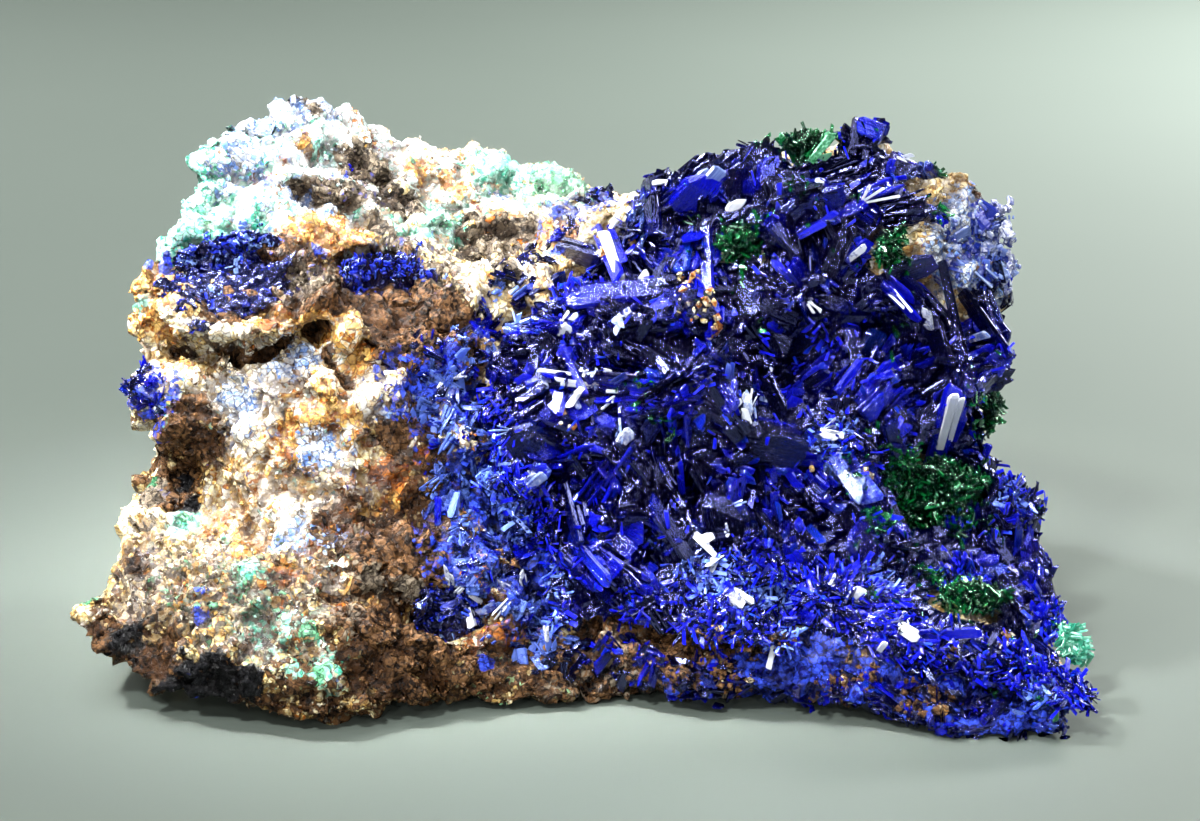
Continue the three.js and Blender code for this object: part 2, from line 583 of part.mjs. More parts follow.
/** A named mesh of one solid with its own plain finish. */
function meshOf(name, solid, finish) {
  const material = new THREE.MeshStandardMaterial({ ...finish, metalness: 0, flatShading: true });
  const mesh = new THREE.Mesh(geometryOf(solid), material);
  mesh.name = name;
  return mesh;
}

const gapAlong = (direction) => radially(direction, SEAT_GAP);
const socket = solidOf(wrap(CRUST_DETAIL, (direction) => floorRadius(direction) - gapAlong(direction)));
const rockSkin = solidOf(wrap(ROCK_DETAIL, (direction) => rockRadius(direction) + gapAlong(direction)));
const grownRock = rockSkin.intersect(solidOf(wrap(CRUST_DETAIL, floorRadius)));
const ground = beyondPlane(RESTING_FLAT);
let rock = rockSolid().intersect(socket).subtract(ground);
let crust = crustSolid(grownRock).subtract(ground);

const specimen = new THREE.Group();
const small = [
  ...PATCHES.map((piece) => ({ piece, finish: LINARITE_FINISH })),
  ...TUFTS.map((piece) => ({ piece, finish: GREEN_FINISH })),
];
for (const { piece, finish } of small) {
  const room = lumpSolid(piece, SEAT_GAP);
  rock = rock.subtract(room);
  crust = crust.subtract(room);
  specimen.add(meshOf(piece.name, lumpPiece(piece, rockSkin), finish));
}
specimen.add(meshOf("matrix", rock, ROCK_FINISH));
specimen.add(meshOf("linarite_crust", crust, LINARITE_FINISH));

const box = new THREE.Box3().setFromObject(specimen);
const middle = box.getCenter(new THREE.Vector3());
specimen.position.set(-middle.x, -middle.y, -box.min.z);

const part = new THREE.Group();
part.add(specimen);

export default part;
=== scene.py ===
"""A cabinet specimen of linarite: blue blades grown over one side of a block of quartz and limonite.

The CAD frame gives every size and place. This script dresses it: the rock is remeshed from its solid and
broken into grains and facets, the blue crust is grown as thousands of bevelled blades in sheaves, and the
small patches and green tufts are grown as fine crystals in the place of their solids.
Lengths are in millimetres until a mesh is written, which is in metres.
"""

import logging
import math
from collections.abc import Iterable, Sequence
from dataclasses import dataclass, field
from enum import Enum, IntEnum
from itertools import combinations

import bpy
import numpy as np
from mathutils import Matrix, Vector, noise
from mathutils.bvhtree import BVHTree

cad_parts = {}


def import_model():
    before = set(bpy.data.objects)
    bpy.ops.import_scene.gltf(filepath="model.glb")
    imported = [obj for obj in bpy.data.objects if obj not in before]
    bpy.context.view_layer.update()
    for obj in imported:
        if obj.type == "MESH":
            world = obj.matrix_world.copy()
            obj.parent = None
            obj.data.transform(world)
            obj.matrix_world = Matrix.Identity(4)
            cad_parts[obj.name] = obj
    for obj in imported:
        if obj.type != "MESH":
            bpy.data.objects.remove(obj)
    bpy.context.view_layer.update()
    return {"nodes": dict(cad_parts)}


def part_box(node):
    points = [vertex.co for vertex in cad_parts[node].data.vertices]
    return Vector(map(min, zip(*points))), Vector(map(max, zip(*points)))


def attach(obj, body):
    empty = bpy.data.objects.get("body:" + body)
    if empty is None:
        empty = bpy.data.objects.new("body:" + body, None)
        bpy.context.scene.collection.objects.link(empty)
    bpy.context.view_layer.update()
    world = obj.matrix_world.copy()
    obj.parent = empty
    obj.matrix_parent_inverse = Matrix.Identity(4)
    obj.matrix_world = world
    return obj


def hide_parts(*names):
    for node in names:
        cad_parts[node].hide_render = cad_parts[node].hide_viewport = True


LOG = logging.getLogger("linarite_specimen")
MM = 0.001  # one millimetre, in metres
BODY = "root"
VIEW_SIZE = (1200, 821)  # width and height of the view, in pixels
FLOOR = (-math.inf, -math.inf, 0.0)  # the least that each coordinate of a vertex may be

Array = np.ndarray
Item = bpy.types.Object
Mesh = bpy.types.Mesh
Material = bpy.types.Material
Random = np.random.Generator
Place = tuple[float, float, float]
Pixel = tuple[float, float]  # a place in the view, from its top left corner
Spot = tuple[float, float, float]  # a place in the view, and a radius in millimetres
Haze = tuple[float, float, float, float]  # a spot, and the share of the grains there


class Draw(IntEnum):
    """What each row of random numbers is for."""

    GRAINS = 21
    CRUST = 22
    BLADES = 23
    BITS = 29
    CHIPS = 32
    LUMPS = 33
    TUFTS = 60
    SPECKS = 80
    FAN = 81
    PATCHES = 90
    KNOB = 110
    GLINTS = 111

    def numbers(self, which: int = 0) -> Random:
        """Starts the row, or a later one of the same kind."""
        return np.random.default_rng(self + which)


class Wave(IntEnum):
    """Which noise or which cells a shape or a share follows."""

    SWELL = 1
    BIG_FACETS = 2
    SMALL_FACETS = 3
    GROUND_FACETS = 11
    GROUND_CHIPS = 12
    GROUND_SWELL = 13
    LUMP_RELIEF = 17
    RAGGED = 30
    CLOUDS = 50
    FLOW = 61
    PATCHES = 70
    SHADES = 71
    BITS = 80
    CLUSTERS = 91


# ---- The view


@dataclass(frozen=True)
class Viewpoint:
    """Where the specimen is looked at from, in millimetres and degrees."""

    target: Place = (2.04, -1.99, 20.0)
    pitch: float = 18.0
    distance: float = 263.0
    lens: float = 90.0
    sensor: float = 36.0

    @property
    def axes(self) -> tuple[Array, Array, Array]:
        """The directions to the right, up and forward."""
        tilt = math.radians(self.pitch)
        up = np.array([0.0, math.sin(tilt), math.cos(tilt)])
        forward = np.array([0.0, math.cos(tilt), -math.sin(tilt)])
        return np.array([1.0, 0.0, 0.0]), up, forward

    @property
    def eye(self) -> Array:
        """The point that the specimen is looked at from."""
        return np.array(self.target) - self.distance * self.axes[2]

    def ray(self, pixel: Pixel) -> Array:
        """The direction from the eye through a place in the view.

        Args:
            pixel: The place.

        Returns:
            A unit vector.
        """
        right, up, forward = self.axes
        focal = self.lens / self.sensor * VIEW_SIZE[0]
        across = (pixel[0] - VIEW_SIZE[0] / 2) / focal
        above = (VIEW_SIZE[1] / 2 - pixel[1]) / focal
        direction = forward + across * right + above * up
        return direction / np.linalg.norm(direction)

    def camera(self) -> None:
        """Makes the camera and looks through it."""
        data = bpy.data.cameras.new("camera")
        data.lens = self.lens
        data.sensor_width = self.sensor
        data.clip_start = 0.01
        data.clip_end = 20.0
        camera = bpy.data.objects.new("camera", data)
        camera.location = Vector(self.eye * MM)
        camera.rotation_euler = (math.radians(90.0 - self.pitch), 0.0, 0.0)
        bpy.context.scene.collection.objects.link(camera)
        bpy.context.scene.camera = camera


VIEW = Viewpoint()


# ---- Numbers and meshes


def unit(vectors: Array) -> Array:
    """The vectors, each scaled to a length of one."""
    length = np.linalg.norm(vectors, axis=-1, keepdims=True)
    return vectors / np.maximum(length, 1e-9)


def smoothstep(values: Array, low: float, high: float) -> Array:
    """Zero under low, one over high, and smooth between them."""
    share = np.clip((values - low) / (high - low), 0.0, 1.0)
    return share * share * (3.0 - 2.0 * share)


def shift_of(seed: int) -> Vector:
    """A place in the noise that a seed stands for."""
    return Vector((seed * 17.31, seed * 9.17, seed * 5.73))


def noise_at(points: Array, size: float, seed: int, octaves: int = 1) -> Array:
    """Smooth noise of about -1 to 1.

    Args:
        points: Places, in millimetres.
        size: Size of a lump of the noise, in millimetres.
        seed: Which noise.
        octaves: How many finer layers it has.

    Returns:
        One number for each place.
    """
    shift = shift_of(seed)
    scaled = (points / size).tolist()
    if octaves == 1:
        return np.array([noise.noise(Vector(p) + shift) for p in scaled])
    return np.array([noise.fractal(Vector(p) + shift, 0.8, 2.1, octaves) for p in scaled])


def facets_at(points: Array, size: float, seed: int) -> tuple[Array, Array]:
    """Broken facets: the space is cut into cells, and each cell is a plane of its own tilt.

    Args:
        points: Places, in millimetres.
        size: Size of a cell, in millimetres.
        seed: Which cells.

    Returns:
        The height of each place on its cell's plane, about -1 to 1, and its distance from the cell's edge.
    """
    shift = shift_of(seed)
    heights = np.empty(len(points))
    edges = np.empty(len(points))
    for i, p in enumerate((points / size).tolist()):
        place = Vector(p) + shift
        distances, centres = noise.voronoi(place)
        tilt = noise.cell_vector(centres[0] * 31.7) * 2.0 - Vector((1.0, 1.0, 1.0))
        level = noise.cell(centres[0] * 17.3) * 2.0 - 1.0
        heights[i] = tilt.dot(place - centres[0]) + 0.5 * level
        edges[i] = distances[1] - distances[0]
    return heights, edges


def values_of(items: bpy.types.bpy_prop_collection, name: str, width: int, kind: type = np.float32) -> Array:
    """What a list in a mesh holds under a name, in rows where each item has more than one number."""
    flat = np.empty(len(items) * width, kind)
    items.foreach_get(name, flat)
    return flat.reshape(-1, width) if width > 1 else flat


def points_of(mesh: Mesh) -> Array:
    """The vertices of a mesh, in millimetres."""
    return values_of(mesh.vertices, "co", 3).astype(float) / MM


def normals_of(mesh: Mesh) -> Array:
    """The outward normals at the vertices of a mesh."""
    return values_of(mesh.vertex_normals, "vector", 3).astype(float)


def move_points(mesh: Mesh, points: Array) -> Array:
    """Puts the vertices of a mesh in their places, and none of them under the floor.

    Args:
        mesh: The mesh.
        points: The places, in millimetres.

    Returns:
        The places where the vertices are now.
    """
    points = np.maximum(points, FLOOR)
    mesh.vertices.foreach_set("co", (points * MM).astype(np.float32).ravel())
    mesh.update()
    return points


def mesh_of(name: str, points: Array, faces: Sequence[Array]) -> Mesh:
    """Writes a mesh of flat faces.

    Args:
        name: The mesh's name.
        points: Its vertices, in millimetres.
        faces: Arrays of vertex numbers, one row for each face; each array has faces of one size.

    Returns:
        The mesh.
    """
    mesh = bpy.data.meshes.new(name)
    corners = np.concatenate([part.ravel() for part in faces]).astype(np.int32)
    sizes = np.concatenate([np.full(len(part), part.shape[1]) for part in faces])
    starts = np.concatenate([[0], np.cumsum(sizes)[:-1]]).astype(np.int32)
    mesh.vertices.add(len(points))
    move_points(mesh, points)
    mesh.loops.add(len(corners))
    mesh.loops.foreach_set("vertex_index", corners)
    mesh.polygons.add(len(sizes))
    mesh.polygons.foreach_set("loop_start", starts)
    mesh.update(calc_edges=True)
    mesh.polygons.foreach_set("use_smooth", np.zeros(len(sizes), bool))
    mesh.validate()
    return mesh


def write_numbers(mesh: Mesh, name: str, values: Array) -> None:
    """Keeps one number or one vector for each vertex of a mesh, for its material to read."""
    kind, key = ("FLOAT", "value") if values.ndim == 1 else ("FLOAT_VECTOR", "vector")
    layer = mesh.attributes.new(name, kind, "POINT")
    layer.data.foreach_set(key, values.astype(np.float32).ravel())


def remeshed(source: Item, name: str, voxel: float, rounding: int) -> Mesh:
    """An even mesh of small squares over a solid.

    Args:
        source: The solid's object.
        name: The new mesh's name.
        voxel: Size of a square, in millimetres.
        rounding: How many times it is smoothed.

    Returns:
        The new mesh.
    """
    base = bpy.data.objects.new(name, source.data.copy())
    bpy.context.scene.collection.objects.link(base)
    remesh = base.modifiers.new("remesh", "REMESH")
    remesh.mode = "VOXEL"
    remesh.voxel_size = voxel * MM
    if rounding:
        smooth = base.modifiers.new("smooth", "SMOOTH")
        smooth.factor = 0.5
        smooth.iterations = rounding
    graph = bpy.context.evaluated_depsgraph_get()
    mesh = bpy.data.meshes.new_from_object(base.evaluated_get(graph))
    mesh.name = name
    bpy.data.objects.remove(base)
    return mesh


class Surface:
    """A mesh in millimetres that things are placed on."""

    THICK = 9.0  # how thick a solid is taken to be where its other side isn't found
    REACH = (200.0, 320.0)  # how near and how far the specimen may be from the eye
    STEPS = 61

    def __init__(self, meshes: Sequence[Mesh]) -> None:
        """Reads meshes as one surface.

        Args:
            meshes: The meshes.
        """
        points: list[Array] = []
        triangles: list[Array] = []
        start = 0
        for mesh in meshes:
            mesh.calc_loop_triangles()
            points.append(points_of(mesh))
            triangles.append(values_of(mesh.loop_triangles, "vertices", 3, np.int32) + start)
            start += len(mesh.vertices)
        self.points = np.concatenate(points)
        self.triangles = np.concatenate(triangles)
        a, b, c = (self.points[self.triangles[:, i]] for i in range(3))
        cross = np.cross(b - a, c - a)
        self.areas = np.linalg.norm(cross, axis=1) / 2
        self.facings = unit(cross)
        self.middles = (a + b + c) / 3
        self.tree = BVHTree.FromPolygons(self.points.tolist(), self.triangles.tolist())

    def seen(self, pixel: Pixel) -> tuple[Array, Array]:
        """The place and the normal of the surface that shows at a place in the view.

        Args:
            pixel: The place in the view; beside the surface, the nearest part of it is taken.

        Returns:
            The point and the unit normal there.
        """
        eye = VIEW.eye
        direction = VIEW.ray(pixel)
        hit, normal, _, _ = self.tree.ray_cast(Vector(eye), Vector(direction))
        if hit is None:
            reach = [Vector(eye + direction * far) for far in np.linspace(*self.REACH, self.STEPS)]
            found = [self.tree.find_nearest(place) for place in reach]
            hit, normal, _, _ = min(found, key=lambda near: near[3])
        return np.array(hit), np.array(normal)

    def room(self, points: Array, normals: Array) -> Array:
        """How thick the solid is under each place on it, along the normal there."""
        found = [self.tree.ray_cast(Vector(p - n * 0.02), Vector(-n))[3] for p, n in zip(points, normals)]
        return np.array([self.THICK if depth is None else depth for depth in found])

    def scatter(self, count: int, rng: Random, weights: Array) -> tuple[Array, Array, Array]:
        """Random places on the surface.

        Args:
            count: How many.
            rng: The random numbers.
            weights: How likely each triangle is, for its area.

        Returns:
            The points, the normals and the triangles' numbers.
        """
        chance = self.areas * weights
        chosen = rng.choice(len(chance), count, p=chance / chance.sum())
        share = rng.random((count, 2))
        share = np.where(share.sum(1, keepdims=True) > 1, 1 - share, share)
        a, b, c = (self.points[self.triangles[chosen, i]] for i in range(3))
        places = a + share[:, :1] * (b - a) + share[:, 1:] * (c - a)
        return places, self.facings[chosen], chosen


def spots_at(points: Array, spots: Iterable[Spot], surface: Surface) -> Array:
    """How deep each point is in any of the spots.

    Args:
        points: Places, in millimetres.
        spots: The spots.
        surface: What the spots are on.

    Returns:
        One at a spot's centre, zero at its edge, and less outside, for each point.
    """
    best = np.full(len(points), -2.0)
    for x, y, radius in spots:
        centre, _ = surface.seen((x, y))
        best = np.maximum(best, 1.0 - np.linalg.norm(points - centre, axis=1) / radius)
    return best


# ---- Crystals


@dataclass
class Crystals:
    """Flat crystals with bevelled edges and slanted ends, gathered to be written as one mesh.

    A batch of them has their roots, the axes that they grow along, the directions that their broad faces look
    in, their lengths, widths and thicknesses, and how light and how dusty they are, 0 to 1.
    """

    rng: Random
    batches: list[tuple[Array, ...]] = field(default_factory=list)

    AROUND = ((-1.0, 0.0), (-0.78, 1.0), (0.78, 1.0), (1.0, 0.0), (0.78, -1.0), (-0.78, -1.0))
    SQUARE = ((-1.0, 1.0), (1.0, 1.0), (1.0, -1.0), (-1.0, -1.0))
    SLANT = 0.95
    BLUNT = (0.15, 0.6)

    def add(self, roots: Array, axes: Array, facings: Array, sizes: Array, shades: Array, dusts: Array) -> None:
        """Adds a batch of crystals."""
        self.batches.append((roots, unit(axes), facings, sizes, shades, dusts))

    def mesh(self, name: str, plain: bool = False) -> Mesh:
        """Writes all the crystals as one mesh, with what their material reads.

        Args:
            name: The mesh's name.
            plain: Whether they are four-sided splinters instead of bevelled blades.

        Returns:
            The mesh.
        """
        roots, axes, facings, sizes, shades, dusts = (np.concatenate(part) for part in zip(*self.batches))
        count = len(roots)
        across = unit(np.cross(axes, facings))
        flat = self.splinters(sizes) if plain else self.blades(sizes)
        around = len(self.SQUARE if plain else self.AROUND)
        corners = flat.shape[1]
        points = roots[:, None, :] + flat @ np.stack([across, axes, np.cross(across, axes)], 1)
        side = [
            (start + i, start + (i + 1) % around, start + around + (i + 1) % around, start + around + i)
            for start in range(0, corners - around, around)
            for i in range(around)
        ]
        starts = (np.arange(count) * corners)[:, None, None]
        quads = (np.array(side)[None] + starts).reshape(-1, 4)
        ends = np.array([range(corners - around, corners), range(around - 1, -1, -1)])
        caps = (ends[None] + starts).reshape(-1, around)
        mesh = mesh_of(name, points.reshape(-1, 3), [quads, caps])
        offset = self.rng.uniform(-500, 500, (count, 1, 3))
        write_numbers(mesh, "grain", (flat + offset).reshape(-1, 3))
        # the share of the way from root to tip, which the finish turns into painted shade at the roots
        write_numbers(mesh, "height", (flat[:, :, 1] / sizes[:, :1]).ravel())
        write_numbers(mesh, "shade", np.repeat(shades, corners))
        write_numbers(mesh, "dust", np.repeat(dusts, corners))
        write_numbers(mesh, "tint", np.repeat(self.rng.random(count), corners))
        return mesh

    def blades(self, sizes: Array) -> Array:
        """The corners of bevelled blades with slanted ends.

        Args:
            sizes: Length, width and thickness of each.

        Returns:
            Their corners, in rings from the root to the tip.
        """
        count = len(sizes)
        length, width, thick = (sizes[:, i, None] for i in range(3))
        slant = self.rng.uniform(-self.SLANT, self.SLANT, (count, 1))
        blunt = self.rng.uniform(*self.BLUNT, (count, 1))
        x, z = np.array(self.AROUND).T[:, None]
        half = width / 2
        shoulder = length - blunt * width + slant * half * 0.7 * x
        tip_x = 0.6 * x + 0.25 * slant
        tip = np.maximum(length - 0.04 * width + slant * half * 0.7 * tip_x, shoulder + 0.01)
        foot = np.stack([0.8 * half * x, np.zeros_like(shoulder), thick / 2 * z], -1)
        middle = np.stack([half * x, shoulder, thick / 2 * z], -1)
        top = np.stack([half * tip_x, tip, 0.2 * thick * z], -1)
        return np.concatenate([foot, middle, top], 1)

    def splinters(self, sizes: Array) -> Array:
        """The corners of four-sided splinters with a slanted end.

        Args:
            sizes: Length, width and thickness of each.

        Returns:
            Their corners, in rings from the root to the tip.
        """
        length, width, thick = (sizes[:, i, None] for i in range(3))
        slant = self.rng.uniform(-0.8, 0.8, (len(sizes), 2))
        x, z = np.array(self.SQUARE).T[:, None]
        end = length + 0.4 * width * (slant[:, :1] * x + slant[:, 1:] * z)
        foot = np.stack([0.4 * width * x, np.zeros_like(end), 0.4 * thick * z], -1)
        top = np.stack([0.42 * width * x, end, 0.36 * thick * z], -1)
        return np.concatenate([foot, top], 1)


@dataclass(frozen=True)
class Sheaf:
    """How the blades of a sheaf are set: nearly parallel, like the pages of a book that is a little open.

    Lengths and thicknesses are in millimetres, widths are shares of the length, and angles are in degrees.
    """

    blades: int = 6
    length: tuple[float, float] = (3.0, 6.0)
    width: tuple[float, float] = (0.22, 0.42)
    thickness: tuple[float, float] = (0.3, 0.6)
    rise: tuple[float, float] = (0.0, 60.0)
    opening: float = 0.06
    spread: float = 0.07
    sink: float = 0.8
    reach: float = 2.0
    shade: float = 0.5
    led: float = 0.8
    flat: float = 0.0

    ALL_OUT = 5.0  # a reach that leaves the blades as long as they are
    SHORTEST = 0.3  # the least share of a blade's length that is left
    WIDEST = 3.0
    LEAD = 9.0  # how far from a guide the sheaves still follow it

    def grow(
        self,
        crystals: Crystals,
        ground: Surface,
        roots: Array,
        normals: Array,
        scales: Array,
        dusts: Array,
        guides: Array | None = None,
    ) -> None:
        """Grows one sheaf from each root.

        Args:
            crystals: What the blades are added to.
            ground: What the sheaves grow on.
            roots: Where they grow from.
            normals: The outward direction there.
            scales: How large each sheaf is, as a share of the usual length.
            dusts: How dusty each is, 0 to 1.
            guides: Rows of a place, an axis and a facing, that the sheaves near it follow.
        """
        rng = crystals.rng
        count = len(roots)
        axis, facing = self.directions(rng, roots, normals)
        if guides is not None:
            axis, facing = self.following(rng, guides, roots, normals, axis, facing)
        length = rng.uniform(*self.length, (count, 1)) * scales[:, None]
        width = length * rng.uniform(*self.width, (count, 1))
        thickness = rng.uniform(*self.thickness, (count, 1)) * np.sqrt(scales[:, None])
        roots = roots - normals * self.excess(ground, roots + axis * length)[:, None]
        shade = self.shade + 0.95 * (rng.random(count) ** 2 - 0.33) + 0.4 * noise_at(roots, 3.4, Wave.SHADES)
        shade = np.clip(shade, 0, 1)
        side = np.cross(axis, facing)
        for i in range(self.blades):
            step = i - (self.blades - 1) / 2
            open_by = self.opening * step + rng.normal(0, self.spread, (count, 1))
            skew = rng.normal(0, self.spread, (count, 1))
            blade_axis = unit(axis + open_by * facing + skew * side)
            blade_face = unit(facing - open_by * axis + rng.normal(0, 0.05, (count, 3)))
            thick = thickness * rng.uniform(0.5, 1.3, (count, 1))
            long = length * rng.uniform(0.45, 1.0, (count, 1))
            wide = np.minimum(width * rng.uniform(0.5, 1.2, (count, 1)), np.minimum(long * 0.8, self.WIDEST))
            start = roots + facing * step * thickness * 1.05 + side * rng.normal(0, 0.3, (count, 1)) * width
            start = start - blade_axis * self.sink * rng.uniform(0.4, 1.0, (count, 1))
            half = unit(np.cross(blade_axis, blade_face)) * wide * 0.4
            long = self.fitted(ground, start, blade_axis, long, half)
            sizes = np.concatenate([long, wide, thick], 1)
            shades = np.clip(shade + rng.normal(0, 0.14, count), 0, 1)
            crystals.add(start, blade_axis, blade_face, sizes, shades, dusts)

    def directions(self, rng: Random, roots: Array, normals: Array) -> tuple[Array, Array]:
        """Where the sheaves point and look by themselves: neighbours lean to the same side.

        Args:
            rng: The random numbers.
            roots: Where they grow from.
            normals: The outward direction there.

        Returns:
            Their axes and the directions that their broad faces look in.
        """
        count = len(roots)
        flow = np.stack([noise_at(roots, 9.0, Wave.FLOW + i) for i in range(3)], 1) * 2.0
        lean = unit(np.cross(np.cross(normals, flow + rng.normal(size=(count, 3)) * 0.6), normals))
        rise = np.radians(rng.uniform(*self.rise, (count, 1)))
        axis = unit(np.cos(rise) * lean + np.sin(rise) * normals)
        roll = rng.uniform(0, math.pi, (count, 1))
        one = unit(np.cross(axis, normals + 0.01))
        facing = np.cos(roll) * one + np.sin(roll) * np.cross(axis, one)
        lying = rng.random((count, 1)) < self.flat
        return axis, np.where(lying, unit(np.cross(one, axis)) + rng.normal(0, 0.15, (count, 3)), facing)

    def following(
        self, rng: Random, guides: Array, roots: Array, normals: Array, axis: Array, facing: Array
    ) -> tuple[Array, Array]:
        """Where the sheaves point and look when most of those near a guide follow it.

        Args:
            rng: The random numbers.
            guides: Rows of a place, an axis and a facing.
            roots: Where the sheaves grow from.
            normals: The outward direction there.
            axis: Their own axes.
            facing: The directions that they look in by themselves.

        Returns:
            The new axes and facings.
        """
        count = len(roots)
        apart = np.linalg.norm(roots[:, None] - guides[None, :, :3], axis=2)
        apart *= rng.uniform(0.8, 1.25, apart.shape)
        nearest = guides[apart.argmin(1)]
        led = (rng.random((count, 1)) < self.led) & (apart.min(1) < self.LEAD)[:, None]
        turned = nearest[:, 3:6] * np.where(rng.random((count, 1)) < 0.75, 1.0, -1.0)
        turned = turned + rng.normal(0, 0.22, (count, 3))
        turned = turned + normals * np.maximum(0.1 - (unit(turned) * normals).sum(1, keepdims=True), 0)
        axis = np.where(led, unit(turned), axis)
        facing = np.where(led, nearest[:, 6:9] + rng.normal(0, 0.3, (count, 3)), facing)
        return axis, unit(np.cross(np.cross(axis, facing), axis))

    def fitted(self, ground: Surface, starts: Array, axes: Array, lengths: Array, halves: Array) -> Array:
        """The blades' lengths, cut back until the tips stand out no further than the reach.

        Args:
            ground: What the sheaves grow on.
            starts: Where the blades start.
            axes: Their directions.
            lengths: Their lengths.
            halves: The way from the middle of each to its side.

        Returns:
            The new lengths.
        """
        if self.reach >= self.ALL_OUT:
            return lengths
        share = np.full((len(starts), 1), self.SHORTEST)
        for part in (0.45, 0.6, 0.75, 0.9, 1.0):
            tips = starts + axes * lengths * part
            inside = self.excess(ground, tips + halves) + self.excess(ground, tips - halves) <= 0
            share = np.where(inside[:, None], part, share)
        return lengths * share

    def excess(self, ground: Surface, tips: Array) -> Array:
        """How far tips stand out of the ground beyond the sheaf's reach.

        Args:
            ground: The ground.
            tips: The tips.

        Returns:
            One length for each tip.
        """
        beyond = np.zeros(len(tips))
        up = Vector((0.0, 0.0, 1.0))
        for i, tip in enumerate(tips):
            distance = ground.tree.find_nearest(Vector(tip))[3]
            if distance > self.reach:
                hit, normal, _, _ = ground.tree.ray_cast(Vector(tip), up)
                if hit is None or normal.dot(up) < 0:
                    beyond[i] = distance - self.reach
        return beyond


@dataclass(frozen=True)
class Blade:
    """A blade that stands out by itself, by its two ends in the view.

    The turn is 0 where its broad face looks at the viewer and 90 where its edge does, in degrees. The lifts
    are how far its root and its tip stand out towards the viewer, in millimetres.
    """

    root: Pixel
    tip: Pixel
    width: float
    turn: float = 30.0
    lifts: tuple[float, float] = (-0.6, 1.2)
    thickness: float = 0.5
    shade: float = 0.6
    dust: float = 0.0
    mates: int = 0

    def pose(self, surface: Surface) -> tuple[Array, Array, Array]:
        """Where the blade starts, the whole way to its tip, and the direction that it faces.

        Args:
            surface: What it stands on.

        Returns:
            Three vectors.
        """
        root, tip = (
            surface.seen(pixel)[0] - VIEW.ray(pixel) * lift
            for pixel, lift in zip((self.root, self.tip), self.lifts)
        )
        axis = unit(tip - root)
        to_eye = unit(VIEW.eye - root)
        face = unit(to_eye - axis * (to_eye @ axis))
        turn = math.radians(self.turn)
        return root, tip - root, math.cos(turn) * face + math.sin(turn) * np.cross(axis, face)

    def grow(self, crystals: Crystals, surface: Surface) -> None:
        """Grows the blade, and its mates beside it.

        Args:
            crystals: What they are added to.
            surface: What they stand on.
        """
        root, whole, facing = self.pose(surface)
        length = float(np.linalg.norm(whole))
        across = np.cross(whole / length, facing)
        rng = crystals.rng
        for i in range(self.mates + 1):
            scale = 1.0 if i == 0 else rng.uniform(0.5, 0.9)
            aside = rng.normal(0, 0.25) * self.width * min(i, 1)
            crystals.add(
                (root - facing * self.thickness * 1.05 * i + across * aside)[None],
                (whole / length + (rng.normal(0, 0.03, 3) if i else 0))[None],
                facing[None],
                np.array([[length * scale, self.width * (0.7 + 0.3 * scale), self.thickness]]),
                np.array([self.shade]),
                np.array([self.dust]),
            )


# ---- Finishes

Colour = tuple[float, float, float, float]
Socket = bpy.types.NodeSocket


def shade_of(red: int, green: int, blue: int) -> Colour:
    """A colour as it shows on a screen, 0 to 255, as the renderer takes it."""
    parts = [value / 255 for value in (red, green, blue)]
    linear = [p / 12.92 if p <= 0.04045 else ((p + 0.055) / 1.055) ** 2.4 for p in parts]
    return (linear[0], linear[1], linear[2], 1.0)


